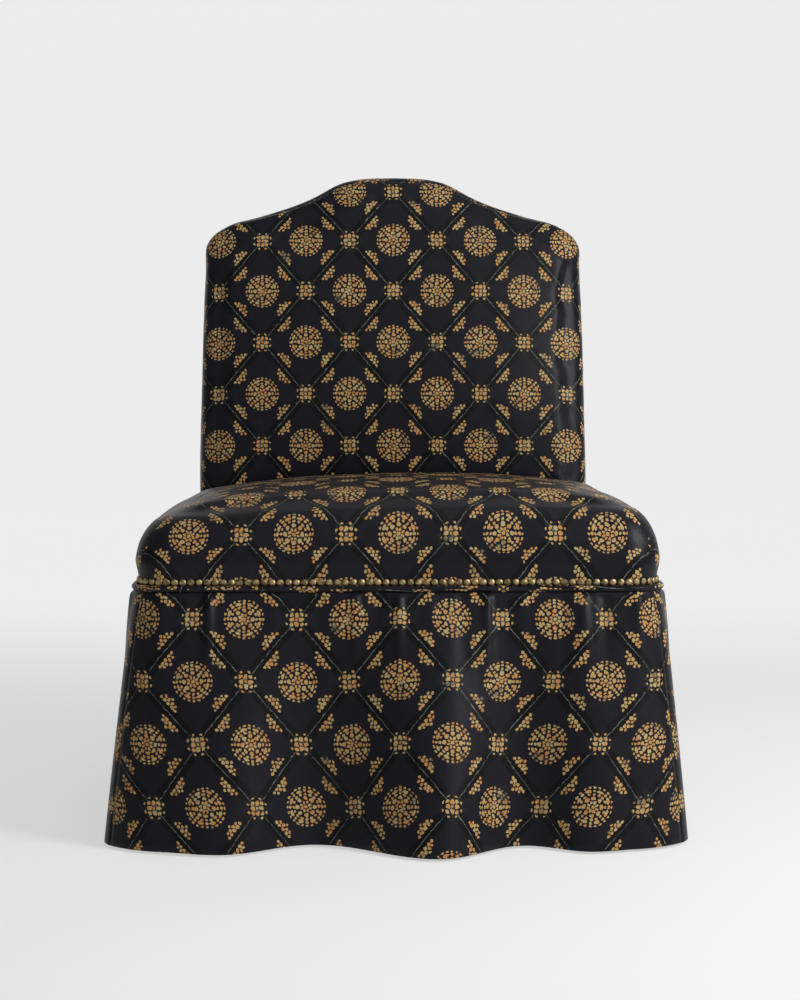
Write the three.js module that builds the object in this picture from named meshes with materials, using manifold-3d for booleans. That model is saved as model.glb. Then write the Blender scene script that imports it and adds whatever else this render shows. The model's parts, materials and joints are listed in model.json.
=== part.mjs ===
// Slipper chair: an armless, fully upholstered chair with a tight crowned seat, a camel back,
// a row of nail heads over a piping round the seat and a skirt down to the floor.
// Millimetres, +Z up. The chair faces -Y, and +X is to the right of someone who looks at its front.
// The origin ends up on the floor, under the middle of the chair's box.

import * as THREE from 'three';
import { mergeVertices } from 'three/addons/utils/BufferGeometryUtils.js';
import Module from 'manifold-3d';

const wasm = await Module();
wasm.setup();

// Clearances
const fit = 0.3; // between pieces that touch
const overrun = 30; // how far a cutter runs past what it cuts
const weldDistance = 0.001;

// Seat, over its cover
const seatWidth = 664;
const seatDepth = 610;
const seatCornerRadius = 45;
const seatCornerKeepShare = 0.65; // how much of the corner radius is left at the top of the edge
const seatEdgeRadius = 34;
const seatLean = 1; // how far the walls draw in between the nails and the edge
const seatCrown = 36;
const nailHeight = 334; // from the floor to the middle of the nail row
const seatEdgeRise = 78; // from the nail row up to where the rounded edge meets the crowned top
const swellPower = 2.4; // how late a stuffed face turns down towards its edges
const coverThickness = 1.2;
const coverLap = 34; // how far the cover runs down past the nails

// Hardwood frame
const railHeight = 80;
const railThickness = 25;
const railRise = 8; // how far the rails reach above the nail row
const legWidth = 48;
const footWidth = 34;
const cornerBlockReach = 86; // from the inside corner of two rails to the block's far point
const cornerBlockHeight = 50;
const glideRadius = 12;
const glideHeight = 4.7;
const glideEdge = 1.5;

// Springs and their clips
const springCount = 5;
const springSideRoom = 27; // from a back post to the outermost spring
const springWidth = 46;
const springPeriod = 56; // one full wave of the wire
const springLobe = 4.2; // how far each bend swells past a plain wave
const springArch = 30; // rise of the deck over the rails
const wireRadius = 1.9;
const clipThickness = 1.2;
const clipWidth = 18;
const clipFoot = 12; // length of the part that is nailed to the rail
const clipLip = 7; // length of the part that folds over the wire
const hessianThickness = 1;
const deckInset = 2; // from the rails' outer faces to the edge of the hessian

// Back, over its cover, measured up its slope from the nail row
const backRakeDegrees = 7;
const backInset = 37; // from the seat's side to the back's side
const backNarrowing = 5; // how far each side draws in between the seat and the shoulder
const backThickness = 104;
const backEdgeRadius = 25;
const backCrown = 18;
const crownLength = 556; // to the top of the camel back
const crownRise = 76; // from the shoulder up to the top of the camel back
const shoulderInset = 45; // from the back's side in to the shoulder
const shoulderSlopeDegrees = 17;
const shoulderDrop = 42; // from the shoulder down to where the side runs straight
const humpHandle = 58; // how far the hump runs level from its middle
const valleyHandle = 105; // how far the shoulder line runs straight towards the hump
const coverFoot = 40; // from the nail row up to the inside back cover's lower edge
const outsideFoot = 7; // the same for the outside back panel
const outsidePanelThickness = 1.8;

// Back frame
const postWidth = 32;
const postDepth = 40;
const postTailDepth = 30;
const postInset = 10; // from the back's side to the post, at least
const postSetback = 3; // from the back's rear face to the post
const crestDrop = 48; // from the shoulder down to the top of the posts, where the crest rail starts
const postTailRise = 3; // how far the tail runs straight past the rails
const postWaist = 34; // from the nail row up the slope to where the tail has met the raked part
const tieRailFoot = 62;
const tieRailHeight = 60;
const crestInset = 11; // from the cover's outline to the crest rail
const backRailThickness = 25;
const webWidth = 50;
const webThickness = 1.2;
const webSpacing = 130; // between the upright webs
const webRowCount = 3; // spaced evenly between the tie rail and the crest rail
const webEndInset = 6; // from the frame's edge to the end of a web
const webSlack = 1.5; // how far the level stretch of a web runs past the one that it crosses
const backHessianInset = 14;

// Piping and nails
const pipingRadius = 3.7;
const pipingDrop = 9.3; // from the nail row down to the middle of the piping
const nailBandHeight = 9.8;
const nailBandThickness = 0.8;

// Skirt
const skirtThickness = 2.4;
const skirtGap = 0.5; // from the piping down to the skirt
const skirtHem = 4; // from the floor up to the hem
const skirtJoint = 0.5; // between two panels at a corner
const frontSkirtStep = 19; // between the points that shape the front folds
const skirtStep = 23; // the same for the other sides
// The folds of a panel, from its left end to its right end as seen from outside:
// where each one stands along the panel, and how far it reaches out at the hem
const frontFoldShares = [0, 0.155, 0.335, 0.575, 0.745, 0.87, 1];
const frontFoldReaches = [55, 76, 24, 101, 33, 66, 48];
const rightFoldShares = [0, 0.055, 0.17, 0.37, 0.6, 0.8, 1];
const rightFoldReaches = [48, 30, 44, 16, 48, 18, 40];
const backFoldShares = [0, 0.2, 0.41, 0.6, 0.81, 1];
const backFoldReaches = [40, 44, 17, 46, 18, 40];
const leftFoldShares = [0, 0.2, 0.4, 0.63, 0.83, 0.945, 1];
const leftFoldReaches = [40, 18, 48, 16, 44, 30, 55];
const foldDropShare = 0.8; // how late the folds open on the way down; under 1 they open early
const dustCoverThickness = 0.8;
const dustCoverInset = 4;

// Places worked out from the sizes above
const seatEdgeHeight = nailHeight + seatEdgeRise;
const backWidth = seatWidth - 2 * backInset;
const shoulderLength = crownLength - crownRise;
const shoulderHalfWidth = backWidth / 2 - shoulderInset;
const postLength = shoulderLength - crestDrop;
const frameInset = coverThickness + fit; // from the seat's outer face to the rails
const frameHalfX = seatWidth / 2 - frameInset;
const frameHalfY = seatDepth / 2 - frameInset;
// A post's outer face is inside the back's side and clear of the leg's inner face
const postOuterX = Math.min(backWidth / 2 - postInset, frameHalfX - legWidth - fit);
const postX = postOuterX - postWidth / 2; // from the middle to a post's middle
const springX = postX - postWidth / 2 - springSideRoom - springWidth / 2; // to the outermost spring
const springSpacing = (2 * springX) / (springCount - 1);
const webFlat = webWidth / 2 + webSlack;
const railTop = nailHeight + railRise;
const railBottom = railTop - railHeight;
const rakeAngle = THREE.MathUtils.degToRad(backRakeDegrees);
const wireHeight = railTop + fit + clipThickness + fit + wireRadius;
const clipTop = wireHeight + wireRadius + fit + clipThickness;
const deckHeight = clipTop + fit; // underside of the hessian where it lies on the clips
const springReach = frameHalfY - railThickness / 2; // from the middle to the wire's end bars
const webPlane = -(postSetback + postDepth + fit); // front of the back frame, along the back's depth

// Finishes
const beech = new THREE.MeshStandardMaterial({ color: 0xb98d5f, roughness: 0.6, metalness: 0 });
const steel = new THREE.MeshStandardMaterial({ color: 0x8c8f94, roughness: 0.35, metalness: 1 });
const brass = new THREE.MeshStandardMaterial({ color: 0x8f7443, roughness: 0.4, metalness: 1 });
const nylon = new THREE.MeshStandardMaterial({ color: 0x2a2724, roughness: 0.5, metalness: 0 });
const foam = new THREE.MeshStandardMaterial({ color: 0xe7dcb8, roughness: 0.95, metalness: 0 });
const hessian = new THREE.MeshStandardMaterial({ color: 0xa58a5e, roughness: 0.95, metalness: 0 });
const webbing = new THREE.MeshStandardMaterial({ color: 0xb7a074, roughness: 0.9, metalness: 0 });
const cambric = new THREE.MeshStandardMaterial({ color: 0x1c1b1b, roughness: 0.95, metalness: 0 });
const printedCloth = new THREE.MeshStandardMaterial({ color: 0x1f212b, roughness: 0.75, metalness: 0 });

const chair = new THREE.Group();
const back = new THREE.Group();
back.position.set(0, seatDepth / 2, nailHeight);
back.rotation.x = -rakeAngle;
back.updateMatrix();
chair.add(back);

function place(parent, name, geometry, material, x = 0, y = 0, z = 0) {
  const piece = new THREE.Mesh(geometry, material);
  piece.name = name;
  piece.position.set(x, y, z);
  parent.add(piece);
  return piece;
}

// Shapes shared by several pieces

// A geometry from points and triangles, turned inside out where its volume comes out negative
function closedGeometry(points, triangles) {
  let volume = 0;
  for (let t = 0; t < triangles.length; t += 3) {
    const [a, b, c] = [points[triangles[t]], points[triangles[t + 1]], points[triangles[t + 2]]];
    volume += a.dot(new THREE.Vector3().crossVectors(b, c));
  }
  if (volume < 0) triangles.reverse();
  const geometry = new THREE.BufferGeometry().setFromPoints(points);
  geometry.setIndex(triangles);
  geometry.computeVertexNormals();
  return geometry;
}

// The walls between rows of points, where each row is a loop
function wallTriangles(rowCount, count, rowsClose) {
  const triangles = [];
  const last = rowsClose ? rowCount : rowCount - 1;
  for (let row = 0; row < last; row++) {
    const next = (row + 1) % rowCount;
    for (let i = 0; i < count; i++) {
      const j = (i + 1) % count;
      triangles.push(row * count + i, row * count + j, next * count + j);
      triangles.push(row * count + i, next * count + j, next * count + i);
    }
  }
  return triangles;
}

function middleOf(ring) {
  return ring.reduce((sum, point) => sum.add(point), new THREE.Vector3()).divideScalar(ring.length);
}

// A closed solid through loops of points, whose first and last loop are closed to their middle
function loft(rings) {
  const count = rings[0].length;
  const points = rings.flat();
  const triangles = wallTriangles(rings.length, count, false);
  const first = points.push(middleOf(rings[0])) - 1;
  const last = points.push(middleOf(rings[rings.length - 1])) - 1;
  const lastRow = (rings.length - 1) * count;
  for (let i = 0; i < count; i++) {
    const j = (i + 1) % count;
    triangles.push(first, j, i);
    triangles.push(last, lastRow + i, lastRow + j);
  }
  return closedGeometry(points, triangles);
}

// A sheet between two like sets of rings, one inside or under the other, with both faces divided
// alike. The rings run from the middle out, or from the rim in.
function layer(under, over, rimFirst = false) {
  const count = under[0].length;
  const lastRow = (under.length - 1) * count;
  const [rim, centre] = rimFirst ? [0, lastRow] : [lastRow, 0];
  const points = [...under.flat(), ...over.flat()];
  const toOver = under.length * count;
  const underMiddle = points.push(middleOf(under[centre / count])) - 1;
  const overMiddle = points.push(middleOf(over[centre / count])) - 1;
  const face = wallTriangles(under.length, count, false);
  const triangles = [...face, ...face.map((index) => index + toOver).reverse()];
  for (let i = 0; i < count; i++) {
    const j = (i + 1) % count;
    const [a, b] = rimFirst ? [j, i] : [i, j];
    triangles.push(underMiddle, centre + b, centre + a);
    triangles.push(overMiddle, toOver + centre + a, toOver + centre + b);
    triangles.push(rim + a, rim + b, toOver + rim + b);
    triangles.push(rim + a, toOver + rim + b, toOver + rim + a);
  }
  return closedGeometry(points, triangles);
}

// A section of [out, up] points carried along stations that each have a point and an outward direction
function sweep(stations, section, closes = false) {
  const rings = stations.map(({ point, outward }) => section.map(([out, up]) => new THREE.Vector3(
    point.x + outward.x * out, point.y + outward.y * out, point.z + up)));
  if (!closes) return loft(rings);
  return closedGeometry(rings.flat(), wallTriangles(rings.length, section.length, true));
}

function toSolid(geometry) {
  const plain = geometry.clone();
  plain.deleteAttribute('normal');
  plain.deleteAttribute('uv');
  const merged = mergeVertices(plain, weldDistance);
  return new wasm.Manifold(new wasm.Mesh({
    numProp: 3,
    vertProperties: merged.attributes.position.array,
    triVerts: new Uint32Array(merged.index.array),
  }));
}

function toGeometry(solid) {
  const mesh = solid.getMesh();
  const geometry = new THREE.BufferGeometry();
  geometry.setAttribute('position', new THREE.BufferAttribute(mesh.vertProperties, 3));
  geometry.setIndex(new THREE.BufferAttribute(mesh.triVerts, 1));
  geometry.computeVertexNormals();
  return geometry;
}

function cut(geometry, ...cutters) {
  return toGeometry(cutters.reduce((solid, cutter) => solid.subtract(toSolid(cutter)), toSolid(geometry)));
}

// The corners of a regular polygon, as pairs
function circle(radius, sides) {
  const angles = Array.from({ length: sides }, (_, i) => (2 * Math.PI * i) / sides);
  return angles.map((angle) => [radius * Math.cos(angle), radius * Math.sin(angle)]);
}

function box(sizeX, sizeY, sizeZ, x, y, z) {
  return new THREE.BoxGeometry(sizeX, sizeY, sizeZ).translate(x, y, z);
}

// An outline of [across, up] points pushed along X, centred on x
function pushedAlongX(outline, width, x) {
  const shape = new THREE.Shape(outline.map(([y, z]) => new THREE.Vector2(y, z)));
  const solid = new THREE.ExtrudeGeometry(shape, { depth: width, bevelEnabled: false });
  return solid.applyMatrix4(new THREE.Matrix4().set(
    0, 0, 1, x - width / 2,
    1, 0, 0, 0,
    0, 1, 0, 0,
    0, 0, 0, 1));
}

// An outline of [x, z] points pushed along Y, from its front face at y
function pushedAlongY(outline, thickness, y) {
  const shape = new THREE.Shape(outline.map(([x, z]) => new THREE.Vector2(x, z)));
  const solid = new THREE.ExtrudeGeometry(shape, { depth: thickness, bevelEnabled: false });
  return solid.rotateX(Math.PI / 2).translate(0, y + thickness, 0);
}

// Seat outline: a rounded rectangle with points along its sides, counter-clockwise from above,
// each with its outward direction. It starts in the middle of the front right corner.
const cornerSteps = 4;
const sideSteps = 6;

function seatLoop(inset) {
  const radius = seatCornerRadius - inset * (1 - seatCornerKeepShare);
  const halfX = seatWidth / 2 - inset;
  const halfY = seatDepth / 2 - inset;
  const corners = [[1, -1, -90], [1, 1, 0], [-1, 1, 90], [-1, -1, 180]];
  const loop = [];
  corners.forEach(([signX, signY, startDegrees], corner) => {
    for (let step = 0; step <= cornerSteps; step++) {
      const angle = THREE.MathUtils.degToRad(startDegrees + (90 * step) / cornerSteps);
      const outward = new THREE.Vector3(Math.cos(angle), Math.sin(angle), 0);
      const centre = new THREE.Vector3(signX * (halfX - radius), signY * (halfY - radius), 0);
      loop.push({ point: centre.addScaledVector(outward, radius), outward });
    }
    const [nextX, nextY] = corners[(corner + 1) % corners.length];
    const outward = loop[loop.length - 1].outward.clone();
    const from = loop[loop.length - 1].point.clone();
    const to = new THREE.Vector3(nextX * (halfX - radius), nextY * (halfY - radius), 0)
      .addScaledVector(outward, radius);
    for (let step = 1; step < sideSteps; step++) {
      loop.push({ point: from.clone().lerp(to, step / sideSteps), outward });
    }
  });
  return loop;
}

// The stretch of the seat outline between the middles of two corners: 0 front, 1 right, 2 back, 3 left
function seatSide(side) {
  const loop = seatLoop(0);
  const stride = cornerSteps + sideSteps;
  const first = (side + 3) * stride + cornerSteps / 2;
  const stations = [];
  for (let i = 0; i <= stride; i++) stations.push(loop[(first + i) % loop.length]);
  return stations;
}

// How full a stuffed face is between two edges, from 1 in the middle to 0 at either edge
function swell(share) {
  return 1 - Math.min(1, Math.abs(share)) ** swellPower;
}

// Seat surface: its wall, rounded edge and crown as rings, moved in by an offset
function seatRings(offset, bottom) {
  const ringAt = (inset, height, tilt, shrink = 0) => seatLoop(inset).map(({ point, outward }) => {
    const moved = new THREE.Vector3(point.x * (1 - shrink), point.y * (1 - shrink), height);
    moved.addScaledVector(outward, -offset * Math.cos(tilt));
    moved.z -= offset * Math.sin(tilt);
    return moved;
  });
  const rings = [ringAt(0, bottom, 0), ringAt(0, nailHeight + nailBandHeight, 0)];
  const edgeSteps = 4;
  for (let step = 0; step <= edgeSteps; step++) {
    const angle = (Math.PI / 2) * (step / edgeSteps);
    const inset = seatLean + seatEdgeRadius * (1 - Math.cos(angle));
    const height = seatEdgeHeight - seatEdgeRadius * (1 - Math.sin(angle));
    rings.push(ringAt(inset, height, angle));
  }
  const crownShares = [0.1, 0.25, 0.45, 0.7, 0.92];
  const crownInset = seatLean + seatEdgeRadius;
  crownShares.forEach((share) => {
    const ring = ringAt(crownInset, seatEdgeHeight, Math.PI / 2, share);
    ring.forEach((p) => {
      p.z += seatCrown * swell(p.x / (seatWidth / 2 - crownInset)) * swell(p.y / (seatDepth / 2 - crownInset));
    });
    rings.push(ring);
  });
  return rings;
}

// Deck: how far the springs and the hessian rise over the rails
function springRise(y) {
  return springArch * Math.max(0, 1 - (y / springReach) ** 2);
}

function deckRise(x, y) {
  const levelTo = (springSpacing * (springCount - 1)) / 2 + springWidth;
  const railEdge = frameHalfX - railThickness;
  const across = THREE.MathUtils.clamp((Math.abs(x) - levelTo) / (railEdge - levelTo), 0, 1);
  return springRise(y) * (1 + Math.cos(Math.PI * across)) / 2;
}

// The deck's rings run from the middle out, so that the hessian and the foam over it match
const deckShares = [0.15, 0.38, 0.56, 0.7, 0.81, 0.91];

function deckRings(height) {
  const edge = seatLoop(frameInset + deckInset);
  const rings = [...deckShares, 1].map((share) => edge.map(({ point }) => {
    const [x, y] = [point.x * share, point.y * share];
    return new THREE.Vector3(x, y, height + deckRise(x, y));
  }));
  return rings;
}

// Back outline: the right half from the middle of the foot to the top of the hump, as [x, z]
function backHalfOutline(foot) {
  const half = backWidth / 2;
  const sideTop = shoulderLength - shoulderDrop;
  const footSteps = 3;
  const wallSteps = 5;
  const points = [];
  for (let step = 0; step < footSteps; step++) points.push(new THREE.Vector2((half * step) / footSteps, foot));
  for (let step = 0; step < wallSteps; step++) {
    const share = step / wallSteps;
    points.push(new THREE.Vector2(half - backNarrowing * share ** 2, foot + (sideTop - foot) * share));
  }
  const slope = THREE.MathUtils.degToRad(shoulderSlopeDegrees);
  const shoulder = new THREE.Vector2(shoulderHalfWidth, shoulderLength);
  const alongShoulder = (distance) => new THREE.Vector2(
    shoulder.x + distance * Math.cos(slope), shoulder.y - distance * Math.sin(slope));
  const corner = new THREE.CubicBezierCurve(
    new THREE.Vector2(half - backNarrowing, sideTop),
    new THREE.Vector2(half - backNarrowing, sideTop + shoulderDrop / 2),
    alongShoulder(shoulderDrop / 2),
    shoulder);
  const hump = new THREE.CubicBezierCurve(
    shoulder,
    alongShoulder(-valleyHandle),
    new THREE.Vector2(humpHandle, crownLength),
    new THREE.Vector2(0, crownLength));
  points.push(...corner.getPoints(3).slice(0, -1), ...hump.getPoints(8));
  return points;
}

// The whole outline, counter-clockwise from the front, moved in by an inset, each point with its
// outward direction
function backLoop(foot, inset = 0) {
  const right = backHalfOutline(foot);
  const left = right.slice(1, -1).reverse().map((p) => new THREE.Vector2(-p.x, p.y));
  const loop = [...right, ...left];
  return loop.map((p, i) => {
    const before = loop[(i + loop.length - 1) % loop.length];
    const after = loop[(i + 1) % loop.length];
    const toHere = p.clone().sub(before).normalize();
    const onward = after.clone().sub(p).normalize();
    const along = toHere.clone().add(onward).normalize();
    const outward = new THREE.Vector2(along.y, -along.x);
    const stretch = 1 / Math.max(Math.SQRT1_2, outward.dot(new THREE.Vector2(onward.y, -onward.x)));
    return { point: p.clone().addScaledVector(outward, -inset * stretch), outward: outward.multiplyScalar(stretch) };
  });
}

function backOutline(foot, inset) {
  return backLoop(foot, inset).map(({ point }) => [point.x, point.y]);
}

// Back surface: its boxing, rounded front edge and crown as rings from the rear to the front,
// moved in by an offset
function backRings(offset, foot, rear) {
  const middle = new THREE.Vector2(0, (foot + crownLength) / 2);
  const ringAt = (inset, depth, tilt, shrink = 0) => backLoop(foot, inset).map(({ point, outward }) => {
    const moved = point.clone().addScaledVector(outward, -offset * Math.cos(tilt));
    moved.sub(middle).multiplyScalar(1 - shrink).add(middle);
    return new THREE.Vector3(moved.x, -depth + offset * Math.sin(tilt), moved.y);
  });
  const rings = [ringAt(0, -rear, 0)];
  const edgeSteps = 3;
  for (let step = 0; step <= edgeSteps; step++) {
    const angle = (Math.PI / 2) * (step / edgeSteps);
    const inset = backEdgeRadius * (1 - Math.cos(angle));
    const depth = backThickness - backEdgeRadius * (1 - Math.sin(angle));
    rings.push(ringAt(inset, depth, angle));
  }
  const crownShares = [0.08, 0.22, 0.45, 0.72, 0.92];
  const edge = backLoop(foot, backEdgeRadius).map(({ point }) => point);
  crownShares.forEach((share) => {
    const ring = ringAt(backEdgeRadius, backThickness, Math.PI / 2, share);
    ring.forEach((p) => {
      const reach = p.z > middle.y ? edgeHeightAt(edge, Math.abs(p.x)) - middle.y : middle.y - foot - backEdgeRadius;
      p.y -= backCrown * swell(p.x / (backWidth / 2 - backEdgeRadius)) * swell((p.z - middle.y) / reach);
    });
    rings.push(ring);
  });
  return rings;
}

// The height of the camel line of an outline at a distance from its middle
function edgeHeightAt(edge, x) {
  const top = edge.filter((p) => p.x >= 0 && p.y > shoulderLength / 2).sort((a, b) => a.x - b.x);
  const next = top.findIndex((p) => p.x >= x);
  if (next <= 0) return top[0].y;
  const t = (x - top[next - 1].x) / (top[next].x - top[next - 1].x);
  return THREE.MathUtils.lerp(top[next - 1].y, top[next].y, t);
}

// The space that the back takes out of the seat
function backSpace(foot) {
  return loft(backRings(-fit, foot, overrun)).applyMatrix4(back.matrix);
}

// Seat frame
function buildSeatFrame() {
  const railMiddle = (railTop + railBottom) / 2;
  const lengthX = 2 * (frameHalfX - legWidth - fit);
  const lengthY = 2 * (frameHalfY - legWidth - fit);
  const railX = frameHalfX - railThickness / 2;
  const railY = frameHalfY - railThickness / 2;
  const acrossRail = new THREE.BoxGeometry(lengthX, railThickness, railHeight);
  const alongRail = new THREE.BoxGeometry(railThickness, lengthY, railHeight);
  place(chair, 'front_seat_rail', acrossRail, beech, 0, -railY, railMiddle);
  place(chair, 'rear_seat_rail', acrossRail, beech, 0, railY, railMiddle);
  place(chair, 'left_seat_rail', alongRail, beech, -railX, 0, railMiddle);
  place(chair, 'right_seat_rail', alongRail, beech, railX, 0, railMiddle);
}

// One leg: square, with its outer corner rounded like the seat, tapered below the rails towards that
// corner's side. signX and signY say which corner it stands in.
function buildLeg(name, signX, signY) {
  const radius = seatCornerRadius - frameInset;
  const outerX = signX * frameHalfX;
  const outerY = signY * frameHalfY;
  const sectionAt = (width, height) => {
    const inner = [[width, 0], [width, width], [0, width]];
    const cornerRadius = (radius * width) / legWidth;
    const arc = [];
    for (let step = 0; step <= cornerSteps; step++) {
      const angle = (Math.PI / 2) * (step / cornerSteps);
      arc.push([cornerRadius * (1 - Math.sin(angle)), cornerRadius * (1 - Math.cos(angle))]);
    }
    const shift = (legWidth - width) / 2;
    return [...inner, ...arc.reverse()].map(([inX, inY]) => new THREE.Vector3(
      outerX - signX * (inX + shift), outerY - signY * (inY + shift), height));
  };
  const rings = [
    sectionAt(footWidth, glideHeight + fit),
    sectionAt(legWidth, railBottom),
    sectionAt(legWidth, railTop),
  ];
  place(chair, `${name}_leg`, loft(rings), beech);

  const glideProfile = [
    [0, 0], [glideRadius - glideEdge, 0], [glideRadius, glideEdge], [glideRadius, glideHeight], [0, glideHeight],
  ].map(([x, z]) => new THREE.Vector2(x, z));
  const glide = new THREE.LatheGeometry(glideProfile, 12).rotateX(Math.PI / 2);
  place(chair, `${name}_glide`, glide, nylon,
    outerX - signX * legWidth / 2, outerY - signY * legWidth / 2, 0);
}

// One block glued into the inside corner of the front rail and a side rail, cut round the leg.
// The rear corners have none: there the tails of the back posts fill the corner.
function buildCornerBlock(name, signX) {
  const legReach = legWidth - railThickness + fit;
  const outline = [
    [cornerBlockReach, fit], [legReach, fit], [legReach, legReach], [fit, legReach], [fit, cornerBlockReach],
  ];
  const shape = new THREE.Shape(outline.map(([inX, inY]) => new THREE.Vector2(
    signX * (frameHalfX - railThickness - inX), inY + railThickness - frameHalfY)));
  const block = new THREE.ExtrudeGeometry(shape, { depth: cornerBlockHeight, bevelEnabled: false });
  place(chair, `front_${name}_corner_block`, block, beech, 0, 0, railTop - railThickness - cornerBlockHeight);
}

// Springs: one wire bent to and fro, arched from the front rail to the rear rail. It starts and ends
// with a straight bar across, which the clips hold.
class SinuousWire extends THREE.Curve {
  constructor(bends) {
    super();
    this.bends = bends;
  }

  getPoint(t, target = new THREE.Vector3()) {
    const phase = Math.PI * (t * (this.bends + 2) - 0.5);
    const travelled = THREE.MathUtils.clamp((phase / Math.PI - 0.5) / this.bends, 0, 1);
    const lobe = travelled > 0 && travelled < 1 ? springLobe * Math.sin(2 * phase) : 0;
    const y = springReach * (2 * travelled - 1) - lobe;
    return target.set((springWidth / 2) * Math.sin(phase), y, springRise(y));
  }
}

function buildSprings() {
  const bends = Math.round((4 * springReach) / springPeriod);
  const wire = new THREE.Shape(circle(wireRadius, 5).map(([x, y]) => new THREE.Vector2(x, y)));
  const stepsPerBend = 4;
  const springShape = new THREE.ExtrudeGeometry(wire, {
    steps: (bends + 2) * stepsPerBend, bevelEnabled: false, extrudePath: new SinuousWire(bends),
  });
  for (let i = 0; i < springCount; i++) {
    const x = (i - (springCount - 1) / 2) * springSpacing;
    place(chair, `seat_spring_${i + 1}`, springShape, steel, x, 0, wireHeight);
    for (const end of [-1, 1]) {
      const side = end < 0 ? 'front' : 'rear';
      place(chair, `${side}_spring_clip_${i + 1}`, clipShape(end), steel, x, 0, 0);
    }
  }
}

// A strap folded round the end bar of a spring: a foot on the rail, a bend and a lip over the wire.
// end is -1 on the front rail and 1 on the rear rail, and the foot points to the middle of the seat.
function clipShape(end) {
  const inner = wireRadius + fit;
  const outer = inner + clipThickness;
  const bendSteps = 5;
  const bend = (radius, from, to) => {
    const points = [];
    for (let step = 0; step <= bendSteps; step++) {
      const angle = from + (to - from) * (step / bendSteps);
      points.push([radius * Math.cos(angle), radius * Math.sin(angle)]);
    }
    return points;
  };
  const outline = [
    [-clipFoot, -outer], ...bend(outer, -Math.PI / 2, Math.PI / 2), [-clipLip, outer],
    [-clipLip, inner], ...bend(inner, Math.PI / 2, -Math.PI / 2), [-clipFoot, -inner],
  ];
  return pushedAlongX(outline.map(([y, z]) => [end * (springReach + y), wireHeight + z]), clipWidth, 0);
}

// Post and its room: one sawn piece, with a tail in front of the rear rail and a raked upper part
function postProfile(clearance) {
  const seatRear = seatDepth / 2;
  const raked = (depth, length) => {
    const p = new THREE.Vector3(0, -depth, length).applyMatrix4(back.matrix);
    return [p.y, p.z];
  };
  const tailRear = seatRear - frameInset - railThickness - fit + clearance;
  const tailFront = tailRear - postTailDepth - 2 * clearance;
  const rearFoot = railTop + fit;
  const rearAtRail = seatRear + (rearFoot - nailHeight) * Math.tan(rakeAngle)
    - postSetback / Math.cos(rakeAngle) + clearance;
  return [
    [tailRear, railBottom - clearance], [tailRear, rearFoot], [rearAtRail, rearFoot],
    raked(postSetback, postLength), raked(postSetback + postDepth, postLength),
    raked(postSetback + postDepth, postWaist), [tailFront, railTop + postTailRise],
    [tailFront, railBottom - clearance],
  ];
}

function buildBackFrame() {
  for (const [name, sign] of [['left', -1], ['right', 1]]) {
    place(chair, `${name}_back_post`, pushedAlongX(postProfile(0), postWidth, sign * postX), beech);
  }

  const between = 2 * (postX - postWidth / 2 - fit);
  const tieRail = new THREE.BoxGeometry(between, backRailThickness, tieRailHeight);
  const railDepth = webPlane + fit + backRailThickness / 2;
  place(back, 'back_tie_rail', tieRail, beech, 0, railDepth, tieRailFoot + tieRailHeight / 2);

  const board = pushedAlongY(backOutline(coverFoot, crestInset), backRailThickness, webPlane + fit);
  const offcut = box(backWidth, backThickness, postLength + fit, 0, 0, (postLength + fit) / 2);
  place(back, 'crest_rail', cut(board, offcut), beech);
}

// Back webbing: strips over and under each other, tacked to the front of the back frame
function buildBackWebbing() {
  const columns = [-1, 0, 1].map((n) => n * webSpacing);
  const tieRailTop = tieRailFoot + tieRailHeight;
  const rows = Array.from({ length: webRowCount }, (_, i) => (
    tieRailTop + ((postLength - tieRailTop) * (i + 1)) / (webRowCount + 1)));
  const raised = webThickness + fit;
  // A strip along a line, level with the frame or raised by one thickness where it passes over
  const strip = (from, to, crossings, firstIsRaised) => {
    const stations = [[from, 0]];
    crossings.forEach((at, i) => {
      const lift = (i % 2 === 0) === firstIsRaised ? raised : 0;
      stations.push([at - webFlat, lift], [at + webFlat, lift]);
    });
    stations.push([to, 0]);
    const near = stations.map(([along, lift]) => [along, webPlane - lift]);
    const far = stations.map(([along, lift]) => [along, webPlane - lift - webThickness]).reverse();
    return [...near, ...far];
  };
  const halfSpan = backWidth / 2 - postInset - webEndInset;
  rows.forEach((height, i) => {
    const shape = new THREE.Shape(strip(-halfSpan, halfSpan, columns, i % 2 === 0)
      .map(([x, y]) => new THREE.Vector2(x, y)));
    const web = new THREE.ExtrudeGeometry(shape, { depth: webWidth, bevelEnabled: false });
    place(back, `back_web_row_${i + 1}`, web, webbing, 0, 0, height - webWidth / 2);
  });
  const foot = tieRailFoot + webEndInset;
  const top = postLength + webWidth / 2;
  columns.forEach((x, i) => {
    const outline = strip(foot, top, rows, i % 2 === 1).map(([z, y]) => [y, z]);
    place(back, `back_web_column_${i + 1}`, pushedAlongX(outline, webWidth, x), webbing);
  });
}

function buildBackPadding() {
  const hessianFront = webPlane - 2 * webThickness - 2 * fit - hessianThickness;
  const sheet = pushedAlongY(backOutline(coverFoot, backHessianInset), hessianThickness, hessianFront);
  place(back, 'back_hessian', sheet, hessian);

  const offset = coverThickness + fit;
  const padRings = backRings(offset, coverFoot, hessianFront - fit);
  place(back, 'back_foam', loft(padRings), foam);

  const outer = backRings(0, coverFoot, 0);
  const inner = backRings(coverThickness, coverFoot, 0);
  const openDepth = -hessianFront + overrun;
  const openFoot = box(backWidth - 4 * coverThickness, openDepth, 4 * coverThickness,
    0, hessianFront + openDepth / 2, coverFoot);
  place(back, 'inside_back_cover', cut(layer(inner, outer, true), openFoot), printedCloth);

  const panel = pushedAlongY(backOutline(outsideFoot, fit), outsidePanelThickness, fit);
  place(back, 'outside_back_panel', panel, printedCloth);
}

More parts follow.
